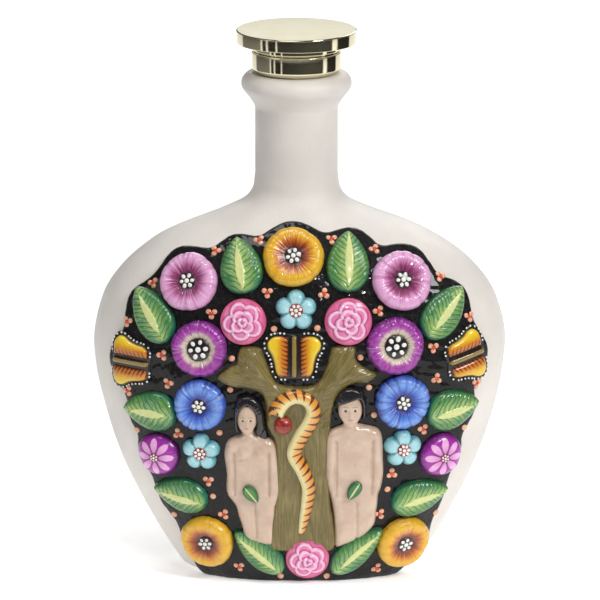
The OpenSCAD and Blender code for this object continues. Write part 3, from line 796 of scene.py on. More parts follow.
def bottle():
    """The slip-cast body, from its rounded foot up over the lip and down the inside."""
    sides, foot_round, wall, bore = 240, 2.5, 5.5, 12.0
    neck = NECK_R - 0.1
    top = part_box("bottle")[1].z / MM
    angle = np.arange(sides) * TURN / sides
    s, c = np.sin(angle), np.cos(angle)

    def ring(radius, height):
        return np.stack([radius * s, -radius * c, np.full(sides, height)], -1)

    def skin(z, t=0.0):
        return surface(s, c, z, t)[0]

    base = skin(0.0)
    rows = [base * [k, k, 1] + [0, 0, 0.9] for k in (0.04, 0.4, 0.72)]
    rows += [base * [k, k, 1] for k in (0.76, 0.92)]
    for a in np.linspace(0.15, 1, 6) * math.pi / 2:
        z = foot_round * (1 - math.cos(a))
        rows.append(skin(z, foot_round * (math.sin(a) - 1)) * [1, 1, 0] + [0, 0, z])
    heights = np.linspace(foot_round + 1, NECK_FOOT, 170)
    for z in heights:
        row, normal = surface(s, c, z, 0.0)
        uneven = wobble(row, 46, 0.16, 2) + wobble(row, 15, 0.05, 3)
        rows.append(row + (uneven * smooth(NECK_FOOT - z, 0, 20))[:, None] * normal)
    lip = [
        (0, 18.4), (0.3, 16.2), (2.6, 12.4), (5.6, 8.6), (6.3, 6.1), (5.7, 3.6), (3.6, 1.5), (1.6, LIP_DROP),
    ]
    rows += [ring(neck, z) for z in np.linspace(NECK_FOOT + 1, top - 19.4, 24)]
    rows += [ring(neck + out, top - drop) for out, drop in spline(lip, 5)]
    mouth = ((14.5, 0), (13.6, 0.1), (12.8, 0.5), (12.3, 1.2))
    rows += [ring(r, top - LIP_DROP - drop) for r, drop in mouth]
    rows += [ring(bore, z) for z in np.linspace(top - LIP_DROP - 2, 166, 12)]
    rows += [skin(z, -wall) for z in np.linspace(162, 6, 50)]
    floor = skin(4.0, -wall)
    rows += [floor * [k, k, 1] for k in (0.9, 0.4, 0.05)]
    rows = np.stack(rows)
    rows[..., 0] -= NECK_LEAN * smooth(rows[..., 2], 118, 182)
    clay = Clay()
    clay.sheet(rows, caps=(True, True))
    clay.piece("bottle_skin", [bisque()], ["bottle"], slot="bisque_clay")


def relief_ground():
    """The black slip slab with its scalloped, rounded edge."""
    spokes, cad_spokes, edge = 720, 120, 1.7
    x, z = on_front(node_points("relief_ground"))
    turn = np.arctan2(z - HEART_Z, x)
    slot = np.round(turn / TURN * cad_spokes).astype(int) % cad_spokes
    reach = np.zeros(cad_spokes)
    np.maximum.at(reach, slot, np.hypot(x, z - HEART_Z))
    angle = np.arange(spokes) * TURN / spokes
    outline = np.interp(angle, np.arange(cad_spokes) * TURN / cad_spokes, reach, period=TURN)
    outline = sum(np.roll(outline, k) for k in range(-4, 5)) / 9
    down = np.maximum(-np.sin(angle), 0.5)
    sideways = np.abs(np.cos(angle)) / down
    heights = np.linspace(FOOT_MARGIN, 50, 200)
    on_bottle = 0.97 * half_width(heights) >= (HEART_Z - heights) * sideways[:, None]
    foot = heights[on_bottle.argmax(1)]
    at_foot = smooth(down, math.cos(math.radians(31)), math.cos(math.radians(24)))
    outline += at_foot * np.maximum((HEART_Z - foot) / down - outline, 0)
    c, s = np.cos(angle), np.sin(angle)

    def row(radius, t):
        return front(radius * c, HEART_Z + radius * s, t)[0]

    rows = [row(portion * (outline - edge), GROUND_TOP) for portion in np.linspace(0.01, 1, 110)]
    for a in np.linspace(0.12, 1, 8) * math.pi / 2:
        rows.append(row(outline - edge * (1 - math.sin(a)), GROUND_TOP * math.cos(a)))
    tops = np.stack(rows)
    lumps = ground_lumps(tops)[..., None] * np.linspace(1, 0, len(rows))[:, None, None] ** 0.15
    normals = front(*on_front(tops))[1]
    tops = tops + lumps * normals
    tops[..., 2] = np.maximum(tops[..., 2], 0.2)
    unders = np.stack([row(outline * k, -0.8) for k in np.linspace(0.995, 0.02, 14)])
    clay = Clay()
    clay.sheet(np.concatenate([tops, unders]), caps=(True, True))
    clay.piece("black_ground", [slip_paint()], ["relief_ground"], slot="black_lacquer")


def softened(section, radius, steps=4):
    """A section whose corners are rounded off."""
    section = np.asarray(section, float)
    rows = [section[0]]
    for before, corner, after in zip(section, section[1:], section[2:]):
        back, ahead = before - corner, after - corner
        cut_back = min(radius, np.linalg.norm(back) * 0.45)
        cut_ahead = min(radius, np.linalg.norm(ahead) * 0.45)
        start = corner + back / np.linalg.norm(back) * cut_back
        end = corner + ahead / np.linalg.norm(ahead) * cut_ahead
        for t in np.linspace(0, 1, steps + 1):
            rows.append((1 - t) ** 2 * start + 2 * t * (1 - t) * corner + t**2 * end)
    return np.array(rows + [section[-1]])


def stopper():
    """The polished disc and collar, and the cork under them."""
    polished = gilt("polished_gilt", 0.05, srgb(212, 204, 172), srgb(228, 220, 190))
    # The satin top's gold is painted darker than the polished gold, as painted shade; only its rougher finish
    # is real.
    satin_shaded = gilt("satin_shaded_gilt", 0.32, srgb(136, 129, 98), srgb(150, 143, 112))
    low, high = (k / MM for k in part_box("stopper_disc"))
    collar_low, collar_high = (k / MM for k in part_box("stopper_collar"))
    rim, waist, top = high.x, collar_high.x, high.z + 0.2
    under = top - 6.2
    disc = Clay()
    disc.sheet(lathe(softened([
        [0.2, low.z], [5, low.z], [5, collar_high.z + 0.05], [waist - 0.9, collar_high.z + 0.05],
        [waist - 0.9, collar_high.z + 0.7], [waist + 0.05, collar_high.z + 0.9], [waist + 0.05, under - 0.5],
        [rim - 1.6, under], [rim, under + 0.35], [rim, top - 0.35], [rim - 0.5, top - 0.05],
    ], 0.25)), caps=(True, False))
    face = rim - 0.5
    crown = [[r, top - 0.05 + 0.35 * (1 - (r / face) ** 2)] for r in np.linspace(face, 0.3, 24)]
    disc.sheet(lathe(crown), number=1, caps=(False, True))
    disc.piece("gilt_disc", [polished, satin_shaded], ["stopper_disc"], "stopper", "pale_gold")
    collar = Clay()
    inner, seat_z = 12.05, collar_low.z - LIP_DROP
    section = softened([
        [inner, collar_low.z + 4.9], [inner, seat_z], [waist - 2.2, seat_z],
        [waist - 0.7, seat_z + 0.7], [waist, seat_z + 2.2], [waist, collar_high.z - 0.1],
        [5.1, collar_high.z - 0.1], [5.1, collar_high.z - 3.2], [4, collar_high.z - 3.2],
        [4, collar_low.z + 4.9], [inner, collar_low.z + 4.9],
    ], 0.6)
    collar.sheet(lathe(section))
    collar.piece("gilt_collar", [polished], ["stopper_collar"], "stopper", "pale_gold")
    low, high = (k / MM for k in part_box("stopper_cork"))
    r = high.x
    rows = lathe(softened([
        [0.3, low.z], [r - 1.5, low.z], [r, low.z + 2], [r, high.z], [0.3, high.z],
    ], 0.7), sides=160)
    rows[3:-3] += wobble(rows[3:-3], 4, 0.04, 7)[..., None] * np.array([1, 1, 0])
    cork = Clay()
    cork.sheet(rows, caps=(True, True))
    cork.piece("cork_plug", [cork_grain()], ["stopper_cork"], "stopper", "cork")


# ---- Flowers ----

# Radius share and height above the ground, from the middle over the rim and down the side
DISH = [
    (0.02, 3.1), (0.22, 3.2), (0.36, 3.7), (0.52, 4.5), (0.7, 5.05), (0.84, 4.8), (0.94, 3.8), (1.0, 2.1),
    (1.0, 0.4), (0.98, -1.4), (0.94, -3.0),
]
EYED_DISH = [
    (0.02, 3.2), (0.38, 3.3), (0.46, 3.9), (0.58, 4.7), (0.72, 5.1), (0.84, 4.8), (0.94, 3.7), (1.0, 2.0),
    (1.0, 0.4), (0.98, -1.4), (0.94, -3.0),
]
DOME = [
    (0.02, 5.2), (0.3, 5.1), (0.55, 4.7), (0.78, 3.8), (0.93, 2.4), (1.0, 0.9), (0.99, -1.0), (0.94, -3.0),
]
PILLOW = [
    (0.02, 3.6), (0.3, 3.7), (0.5, 4.25), (0.7, 4.2), (0.86, 3.4), (0.96, 2.0), (1.0, 0.6), (0.98, -1.2),
    (0.94, -3.0),
]
# Section, number of petal folds, their depth, their notch in the outline, their width in radians,
# the height of the fine wrinkles, the paint and the slot
FLOWERS = {
    "sunflower": (DISH, 11, 0.14, 0.014, 0.09, 0.1, sunflower_paint, "yellow_petals"),
    "pink_flower": (DISH, 12, 0.16, 0.016, 0.08, 0.14, pink_paint, "pink_petals"),
    "anemone": (EYED_DISH, 20, 0.26, 0.016, 0.06, 0.16, anemone_paint, "violet_petals"),
    "blue_flower": (DISH, 17, 0.42, 0.022, 0.075, 0.16, blue_paint, "blue_petals"),
    "star_flower": (PILLOW, 5, 0.8, 0.0, 0.15, 0.06, star_paint, "sky_petals"),
    "daisy": (DOME, 8, 0.0, 0.0, 0.1, 0.05, daisy_paint, "daisy_petals"),
    "rose": (DOME, 0, 0.0, 0.0, 0.1, 0.0, rose_paint, "rose_petals"),
}
# Share of the radius that the centre takes, its seat, its dots round the middle one, their size and
# the button's colour
CENTRES = {
    "sunflower": (0.28, 3.3, 6, 0.24, "black"), "pink_flower": (0.28, 3.3, 6, 0.24, "black"),
    "anemone": (0.41, 3.4, 6, 0.2, "black"), "blue_flower": (0.28, 3.35, 6, 0.24, "black"),
    "star_flower": (0.34, 3.75, 7, 0.23, "red"), "daisy": (0.2, 5.0, 6, 0.22, "red"),
}
FLOWER_DRAPE = 0.45
# Share of its radius that a star flower's middle sits below the middle of its box
STAR_LIFT = -0.0575


def nodes_of(kind):
    return sorted(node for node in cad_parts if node.startswith(kind + "_"))


def star_reach(angle):
    """Outline of five round petals that touch, the first one pointing up."""
    turn = (angle - math.pi / 2 + TURN / 10) % (TURN / 5) - TURN / 10
    return 0.55 * np.cos(turn) + np.sqrt(0.2025 - (0.55 * np.sin(turn)) ** 2)


def flower_head(node, kind, number):
    """Petals as one turned form, creased and notched where they meet."""
    section, folds, crease, notch, width, wrinkle, _, _ = FLOWERS[kind]
    seat, (radius, _) = seat_of(node, drape=FLOWER_DRAPE)
    random = np.random.default_rng(number)
    sides = 216
    angle = np.arange(sides) * TURN / sides
    borders = (np.arange(folds) + random.uniform(-0.36, 0.36, folds)) * TURN / folds + random.uniform(0, 1)
    deep = random.uniform(0.35, 1.3, folds)
    outline = 1 + 0.012 * np.sin(3 * angle + random.uniform(0, 6)) + 0.008 * np.sin(5 * angle)
    lift = 0.0
    if kind == "star_flower":
        borders = math.pi / 2 + TURN * (np.arange(5) + 0.5) / 5
        deep = np.ones(5)
        outline = star_reach(angle)
        lift = STAR_LIFT * radius
    gap = np.abs((angle[:, None] - borders + math.pi) % TURN - math.pi)
    fold = (deep * np.exp(-((gap / width) ** 2))).max(1)
    ripple = sum(np.sin(k * angle + random.uniform(0, TURN)) for k in (19, 26, 31, 41, 53)) / 3
    portion, height = spline(section, 6).T
    portion, height = portion[:, None], height[:, None]
    grown = 1 + (outline * (1 - notch * fold) - 1) * smooth(portion, 0.15, 0.8)
    reach = radius * portion * grown
    drop = crease * fold * smooth(portion, 0.3, 0.65)
    drop = drop - wrinkle * ripple * smooth(portion, 0.24, 0.45) * smooth(portion, 1.0, 0.85)
    u, v = reach * np.cos(angle), reach * np.sin(angle) + lift
    points = seat.at(u, v, height - np.where(height > 0, drop, 0))
    points = points + wobble(points, 6, 0.1, number)[..., None] * seat.normal
    place = np.stack(np.broadcast_arrays(portion * np.cos(angle), portion * np.sin(angle), fold), -1)
    clay = Clay()
    clay.sheet(points, place, caps=(True, True))
    return clay


def rose_head(node, number):
    """Overlapping petals in three rounds, each with a pale curled lip."""
    seat, (radius, _) = seat_of(node, drape=FLOWER_DRAPE)
    sides = 260
    angle = np.arange(sides) * TURN / sides
    portion = np.linspace(0.015, 0.9, 70)[:, None]
    height = 4.4 - 2.2 * portion**3 + 0 * angle
    lip, fold = np.zeros_like(height), np.zeros_like(height)
    start = np.random.default_rng(number).uniform(0, 1)
    for out, petals, rise in ((0.86, 5, 0.5), (0.54, 4, 0.65), (0.24, 3, 0.5)):
        phase = (angle * petals / TURN + start + out * 2.7) % 1
        edge = out * (1 - 0.24 * (2 * phase - 1) ** 2 + 0.05 * np.sin(3 * angle + number))
        inside = edge - portion
        within = smooth(inside, -0.01, 0.05)
        overlap = phase - smooth(phase, 0.9, 1.0)
        height = height + within * (rise * 0.4 + rise * 0.9 * overlap)
        height = height + 0.45 * np.exp(-(((inside - 0.07) / 0.06) ** 2))
        lip = lip * (1 - within) + np.exp(-(((inside - 0.08) / 0.085) ** 2))
        lip = lip + 0.9 * within * np.exp(-(((phase - 0.9) / 0.08) ** 2)) * smooth(-inside, -0.26, -0.04)
        # fold marks the crevice under each lip, which the rose's paint darkens as painted shade.
        under = np.where(inside < 0, np.exp(-((inside / 0.09) ** 2)), 0)
        fold = fold * (1 - within) + under + 0.8 * within * np.exp(-((phase / 0.12) ** 2))
    side_share = np.array([0.95, 0.985, 1.0, 1.0, 0.98, 0.94])[:, None]
    side_height = np.array([3.0, 2.1, 1.2, 0.2, -1.4, -3.0])[:, None] + 0 * angle
    portion = np.concatenate([portion, side_share])
    height = np.concatenate([height, side_height])
    blank = 0 * side_height
    lip, fold = np.concatenate([lip, blank]), np.concatenate([fold, blank])
    points = seat.at(radius * portion * np.cos(angle), radius * portion * np.sin(angle), height)
    place = np.stack(np.broadcast_arrays(lip, fold, portion), -1)
    clay = Clay()
    clay.sheet(points, place, caps=(True, True))
    return clay


def flowers():
    number = 0
    for kind, (*_, paint, slot) in FLOWERS.items():
        material = paint()
        for node in nodes_of(kind):
            number += 1
            clay = rose_head(node, number) if kind == "rose" else flower_head(node, kind, number)
            clay.piece(node + "_petals", [material], [node], slot=slot)


def flower_centres():
    """Buttons with a ring of raised white dots."""
    black = plain_paint("centre_black_paint", srgb(14, 12, 14), srgb(30, 26, 28))
    red = plain_paint("centre_red_paint", srgb(120, 24, 28), srgb(158, 44, 44))
    white = plain_paint("white_dot_paint", srgb(232, 228, 222), WHITE)
    random = np.random.default_rng(11)
    clay = Clay()
    for kind, (part, seat_height, dots, size, colour) in CENTRES.items():
        for node in nodes_of(kind):
            seat, (radius, _) = seat_of(node, drape=FLOWER_DRAPE)
            button = part * radius
            v = STAR_LIFT * radius if kind == "star_flower" else 0.0
            number = 0 if colour == "black" else 1
            dome(clay, seat, 0, v, (button, button), 0.8, seat_height, number=number, sides=36)
            dome(clay, seat, 0, v, (size * button * 1.2,) * 2, 0.5, seat_height + 0.72, number=2)
            start = random.uniform(0, 1)
            for k in range(dots):
                a = (k + start) * TURN / dots + random.uniform(-0.06, 0.06)
                far = button * 0.65
                grow = random.uniform(0.9, 1.1)
                radii = (size * button * 1.15 * grow, size * button * 0.95 * grow)
                dot_u, dot_v = far * math.cos(a), v + far * math.sin(a)
                dome(clay, seat, dot_u, dot_v, radii, 0.5, seat_height + 0.52, a, 2)
    clay.piece("flower_buttons", [black, red, white], ["flower_centres"], slot="centre_black")


# ---- Leaves, butterflies and berries ----

# Degrees round the seat that each leaf and each butterfly's head points to
LEAF_TURNS = {
    "leaf_top_left": 102, "leaf_top_right": 87, "leaf_upper_left": 126, "leaf_upper_right": 47,
    "leaf_middle_left": 176, "leaf_middle_right": 12, "leaf_lower_left": 168, "leaf_lower_right": 14,
    "leaf_bottom_left": 137, "leaf_bottom_right": 44,
}
BUTTERFLY_TURNS = {"butterfly_top": 90, "butterfly_left": 177, "butterfly_right": 14}


def leaf_half(portion, half_wide):
    """Half width of a leaf at a share of its length from base to tip."""
    return half_wide * np.sin(math.pi * np.clip(portion, 0, 1) ** 0.76) ** 0.62


def leaf_outline(half_long, half_wide, count=40):
    portion = np.linspace(0, 1, count)
    u, v = (2 * portion - 1) * half_long, leaf_half(portion, half_wide)
    return np.concatenate([np.stack([u, v], -1), np.stack([u, -v], -1)[-2:0:-1]])


def leaf(node, turn, material, number):
    """A plump leaf with pressed veins and a raised midrib."""
    seat, (half_long, half_wide) = seat_of(node, turn, drape=0.8)
    random = np.random.default_rng(number)
    pitch, slant = random.uniform(2.3, 2.7), random.uniform(0.6, 0.85)
    rib_start, rib_end = random.uniform(0.08, 0.18), random.uniform(0.82, 0.95)
    bend = random.uniform(-0.5, 0.5)

    def sideways(u, v):
        """Height across the leaf from its slightly bent midrib."""
        return v - bend * (1 - (u / half_long) ** 2) - 0.3 * bend

    def mark(u, v, depth):
        t = np.clip((u / (2 * half_long) + 0.5 - rib_start) / (rib_end - rib_start), 0, 1)
        lens = 0.2 * half_wide * np.sin(math.pi * t**0.85) ** 0.9 - 0.08
        off = np.abs(sideways(u, v))
        sway = 0.25 * np.sin(u * 0.9 + number) + 0.2 * np.sin(v * 1.3 + 2 * number)
        vein = (u - slant * off + sway + 0.4 * pitch * (v > 0)) / pitch
        return lens - off, vein, leaf_half(u / (2 * half_long) + 0.5, half_wide)

    def height(u, v, depth):
        inside, vein, half = mark(u, v, depth)
        crown = 1.0 * (1 - (v / np.maximum(half, 1)) ** 2)
        midrib = smooth(inside, -0.35, 0.3)
        groove = 0.3 * (0.5 - 0.5 * np.cos(vein * TURN)) ** 3 * smooth(depth, 0.4, 1.8) * (1 - midrib)
        uneven = wobble(np.stack([u, v, 0 * u + number], -1), 7, 0.12, number)
        body = rounded(depth, 2.8, 3.1) + np.maximum(crown, 0) - groove + 0.45 * midrib
        return body + uneven * smooth(depth, 0, 1)

    clay = Clay()
    half_long, half_wide = half_long * LEAF_SPREAD[0], half_wide * LEAF_SPREAD[1]
    reach = (-half_long - 1, half_long + 1, -half_wide - 1, half_wide + 1)
    relief(clay, seat, reach, 0.32, outline_distance(leaf_outline(half_long, half_wide)), height, mark, -2.2)
    clay.piece(node + "_clay", [material], [node], slot="leaf_green")


# How much longer and wider the leaves are than the CAD's
LEAF_SPREAD = (1.02, 1.05)
# Half outlines of a butterfly that faces +u: the black wing and the coloured cell on it
WING = [
    (10.5, 0), (11.2, 5), (10.8, 10.4), (8.4, 13.6), (5, 14), (0.5, 11.2), (-4, 9.6), (-8.6, 8.4),
    (-10.9, 6), (-10.6, 0),
]
CELL = [
    (9.0, 2.6), (9.5, 6.4), (9.0, 9.8), (6.6, 12.1), (3.6, 11.9), (0.4, 10.1), (-3, 9.1), (-6.4, 8.6),
    (-8.8, 7.2), (-9.3, 4.8), (-9.0, 2.6),
]


def butterfly(node, turn, materials):
    """Black wings edged with white dots, raised cells and a barred body."""
    seat, (_, half_span) = seat_of(node, turn, drape=0.8)
    size = half_span / 14
    wing = spline(np.array(WING) * size, 4)
    cell = spline(np.array(CELL) * size, 5)
    on_wing, on_cell = outline_distance(wing), outline_distance(cell)
    reach = (-12 * size, 12.4 * size, -15 * size, 15 * size)
    clay = Clay()
    relief(clay, seat, reach, 0.45, lambda u, v: on_wing(u, np.abs(v)),
           lambda u, v, depth: rounded(depth, 1.0, 0.75), floor=-2.2, number=0)
    relief(clay, seat, reach, 0.34, lambda u, v: on_cell(u, np.abs(v)),
           lambda u, v, depth: 0.4 + rounded(depth, 1.9, 1.9) + 0.3 * smooth(depth, 0, 4),
           floor=-1.0, number=1)
    long_half, wide_half = 9.8 * size, 1.75 * size

    def on_body(u, v):
        return wide_half - np.hypot(np.maximum(np.abs(u) - long_half + wide_half, 0), v)

    relief(clay, seat, (-long_half - 1, long_half + 1, -wide_half - 1, wide_half + 1), 0.3, on_body,
           lambda u, v, depth: 0.7 + rounded(depth, 1.7 * size, 1.7), floor=-1.0, number=2)
    ahead = np.roll(cell, -1, 0) - cell
    length = np.linalg.norm(ahead, axis=1)
    outward = np.stack([ahead[:, 1], -ahead[:, 0]], -1) / length[:, None]
    if on_cell(*(cell[3] + 0.5 * outward[3])) > 0:
        outward = -outward
    travel = np.concatenate([[0], np.cumsum(length)[:-1]])
    for place in np.arange(0.3, travel[-1], 1.9 * size):
        k = int(np.searchsorted(travel, place, side="right")) - 1
        spot = cell[k] + 1.3 * size * outward[k]
        if spot[1] > 2.4 * size and outward[k][1] > -0.5:
            for side in (-1, 1):
                dome(clay, seat, spot[0], side * spot[1], (0.5, 0.5), 0.35, 0.72, number=3, rings=3, sides=10)
    clay.piece(node + "_clay", materials, [node], slot="butterfly_paint")


def berries():
    """Peach dots, alone or in threes joined by red strokes."""
    peach = plain_paint("berry_paint", srgb(228, 150, 114), srgb(244, 190, 156), 700.0)
    red = plain_paint("sprig_paint", srgb(186, 48, 34), srgb(222, 86, 62), 700.0)
    x, z = on_front(islands("berries"))
    spots = np.stack([x, z], -1)
    gaps = np.linalg.norm(spots[:, None] - spots, axis=-1)
    clay = Clay()
    for k, near in enumerate(gaps < 3.4):
        seat = Seat(*spots[k])
        rise = float(ground_lumps(seat.origin))
        alone = near.sum() < 3
        radius = 1.5 if alone else 1.28
        dome(clay, seat, 0, 0, (radius, radius * 0.94), 0.6, rise, number=0, rings=4, sides=16)
        if not alone:
            middle = spots[near].mean(0)
            towards = middle - spots[k]
            turn = math.atan2(towards[1], towards[0])
            u, v = 0.62 * towards
            dome(clay, seat, u, v, (1.25, 0.8), 0.55, rise + 0.02, turn, 1, 4, 16)
    clay.piece("berry_dots", [peach, red], ["berries"], slot="berry_peach")


# ---- Tree, snake and apple ----

# Outline of trunk and boughs in (x, z), from the foot's left corner round over the top
TREE = [
    (-13.5, 18), (-13.5, 31), (-11.5, 40), (-11.5, 68), (-13, 73), (-15, 77), (-15.6, 84), (-17, 91.6),
    (-24, 94.2), (-32, 95.4), (-37.3, 99.3), (-32, 104.2), (-28.4, 106), (-27.8, 110), (-25.8, 113.5),
    (-18.2, 113.5), (-16.3, 110.5), (-14.2, 105), (-11.8, 99.5), (-9, 96.6), (-1, 95.6), (6, 96.2),
    (9.5, 99.5), (12, 105), (13.6, 110.5), (15.4, 113.8), (24.7, 113.8), (25.2, 108.5), (28.2, 104.8),
    (34.8, 101.2), (30.8, 97), (23.4, 96.4), (18, 92), (15.4, 86), (14.2, 79), (14, 66.3), (13.9, 42.6),
    (15.5, 31), (15.4, 17.5), (3.5, 16.5), (-6, 16.5),
]
# [x, z, radius] from the tail's tip to the nose
SNAKE = [
    (0.8, 26.5, 1.3), (1.8, 32, 2.1), (3.3, 40.7, 2.7), (3.9, 48.8, 3.1), (1.2, 57, 3.3),
    (-2.4, 64.5, 3.4), (0.2, 72, 3.4), (4.4, 78.8, 3.4), (6.2, 84.6, 3.3), (3.8, 89.6, 3.2),
    (-1.6, 91.4, 3.3), (-6.6, 89.6, 3.6), (-9.5, 86.2, 3.7), (-10.4, 83.6, 3.3),
]
SNAKE_EYE = (-11.2, 86.4)
# How much bigger the apple is than the CAD's
APPLE_SPREAD = 1.1


def tree():
    """Trunk and boughs, brushed and scored with bark lines."""
    seat = Seat(0, 64)
    outline = spline(TREE, 4, closed=True)
    inside = outline_distance(outline)
    # Root and tip of the trunk and of each bough
    limbs = [
        ((0, 20), (0, 88)), ((-6, 88), (-22, 113)), ((-10, 93), (-37, 100)), ((6, 88), (20, 113)),
        ((12, 92), (35, 101)),
    ]

    def spot(u, v):
        return on_front(seat.origin + u[..., None] * seat.u + v[..., None] * seat.v)

    def distance(u, v):
        return inside(*spot(u, v))

    def mark(u, v, depth):
        x, z = spot(u, v)
        total, up, side = 0, 0, 0
        for (root_x, root_z), (tip_x, tip_z) in limbs:
            run, climb = tip_x - root_x, tip_z - root_z
            length = math.hypot(run, climb)
            along = ((x - root_x) * run + (z - root_z) * climb) / length
            off = ((x - root_x) * climb - (z - root_z) * run) / length
            away = np.hypot(off, along - np.clip(along, 0, length))
            pull = 1 / (away**2 + 2) ** 3
            total, up, side = total + pull, up + pull * along, side + pull * off
        up, side = up / total, side / total
        return up, side + 0.6 * np.sin(up * 0.11), depth

    def height(u, v, depth):
        up, side, _ = mark(u, v, depth)
        score = wobble(np.stack([side * 3.2, up * 0.3, 0 * up], -1), 5, 0.15, 21)
        score = score + wobble(np.stack([side * 1.4, up * 0.2, 0 * up], -1), 7, 0.2, 22)
        x, z = spot(u, v)
        crotch = 0.7 * np.exp(-(((z - 94) / 2.4) ** 2) - (x / 9) ** 2)
        round_bough = 1.1 * smooth(z, 86, 98) * (smooth(depth, 0, 5) - 0.4)
        thick = TREE_TOP - GROUND_TOP
        return rounded(depth, 2.6, thick) + (score + crotch + round_bough) * smooth(depth, 0.2, 1.8)

    clay = Clay()
    relief(clay, seat, (-40, 40, -51, 53), 0.42, distance, height, mark)
    clay.piece("tree_clay", [bark_paint()], ["tree"], slot="olive_paint")


def snake():
    """A round body half sunk in the trunk, with an open mouth round the apple."""
    path = spline(SNAKE, 10)
    run = np.gradient(path[:, :2], axis=0)
    run /= np.linalg.norm(run, axis=1, keepdims=True)
    length = np.concatenate([[0], np.cumsum(np.linalg.norm(np.diff(path[:, :2], axis=0), axis=1))])
    sides = 40
    angle = np.arange(sides) * TURN / sides
    wide = path[:, 2:] * np.cos(angle)
    to_nose = length[-1] - length[:, None]
    gape = smooth(to_nose, 5.0, 0.0) * (3.6 * np.abs(np.cos(angle)) ** 1.2 - 1.4) * (np.sin(angle) > -0.2)
    x = path[:, :1] - run[:, 1:] * wide + run[:, :1] * gape
    z = path[:, 1:2] + run[:, :1] * wide + run[:, 1:] * gape
    head = smooth(to_nose, 9.0, 2.0)
    lift = path[:, 2:] * np.sin(angle) * (0.92 - 0.12 * head)
    points = front(x, z, TREE_TOP - 0.2 + lift)[0]
    turn = (1 - np.cos(angle)) / 2
    place = np.stack(np.broadcast_arrays(length[:, None], turn, path[:, 2:]), -1)
    clay = Clay()
    clay.sheet(points, place, caps=(True, True))
    eye = Seat(*SNAKE_EYE, base=TREE_TOP)
    dome(clay, eye, 0, 0, (0.62, 0.62), 0.6, 2.5, number=1)
    dome(clay, eye, 0.15, 0.2, (0.2, 0.2), 0.2, 3.05, number=2)
    ink = plain_paint("snake_eye_paint", srgb(16, 12, 10), srgb(30, 22, 18))
    glint = plain_paint("snake_glint_paint", srgb(236, 232, 224), WHITE)
    clay.piece("snake_clay", [snake_paint(), ink, glint], ["snake"], slot="snake_paint")


def apple():
    """A round apple, a little fuller on its upper side."""
    seat, (radius, _) = seat_of("apple", base=TREE_TOP)
    sides, radius = 64, radius * APPLE_SPREAD
    angle = np.arange(sides) * TURN / sides
    tilt = np.linspace(-0.35, 0.5, 20)[:, None] * math.pi
    reach = radius * np.cos(tilt) * (1 + 0.05 * np.sin(angle) * np.cos(tilt))
    u, v = reach * np.cos(angle), reach * np.sin(angle)
    points = seat.at(u, v + 0.3, 0.4 + radius * 0.85 * np.sin(tilt) + 0 * angle)
    clay = Clay()
    clay.sheet(points[:-1], caps=(True, True))
    clay.piece("apple_clay", [apple_paint()], ["apple"], slot="apple_red")


# ---- Figures ----

def soft_max(a, b, soft):
    """The higher of two heights, melted together where they are close."""
    near = np.maximum(soft - np.abs(a - b), 0) / soft
    return np.maximum(a, b) + near * near * soft / 4


class Sculpt:
    """A height field that starts as a rounded slab and is swelled, pressed and scored."""

    def __init__(self, u, v, height):
        self.u, self.v, self.height = u, v, height

    def bump(self, u, v, wide, tall, rise, turn=0.0):
        """A soft swelling, or a hollow where rise is negative."""
        c, s = math.cos(turn), math.sin(turn)
        du, dv = self.u - u, self.v - v
        a, b = (c * du + s * dv) / wide, (c * dv - s * du) / tall
        self.height = self.height + rise * np.exp(-(a * a) - b * b)

    def score(self, start, end, wide, rise):
        """A soft groove, or a ridge where rise is positive, between two spots."""
        run, climb = end[0] - start[0], end[1] - start[1]
        t = ((self.u - start[0]) * run + (self.v - start[1]) * climb) / (run * run + climb * climb)
        t = np.clip(t, 0, 1)
        gap = np.hypot(self.u - start[0] - t * run, self.v - start[1] - t * climb)
        self.height = self.height + rise * np.exp(-((gap / wide) ** 2))

    def ball(self, u, v, wide, tall, low, high, soft=1.5):
        """An egg that stands up from low to high and melts into what is there."""
        inside = 1 - ((self.u - u) / wide) ** 2 - ((self.v - v) / tall) ** 2
        egg = low + (high - low) * np.sqrt(np.maximum(inside, 0)) + 4 * np.minimum(inside, 0)
        self.height = soft_max(self.height, egg, soft)


# Heights of shoulders, head and feet about the seat, half widths of the shoulders and face, how
# far the head stands to the side, half the face's height and how far the chest swells
Form = namedtuple("Form", "shoulder half_width head left_foot right_foot lean face_w face_h bust")
WOMAN = Form(12.4, 8.8, 21.5, -28.8, -28.6, -1.7, 4.1, 5.4, 1.5)
MAN = Form(18.4, 9.2, 26.2, -33.8, -26.2, -2.0, 4.9, 6.2, 0.3)
# Half width of the face that the sizes of the features are given for
FEATURE_W = 4.1
# How far the CAD's figures reach above the head's height and below the lower foot's
CROWN_RISE = 7.1
SOLE_DROP = 2.9
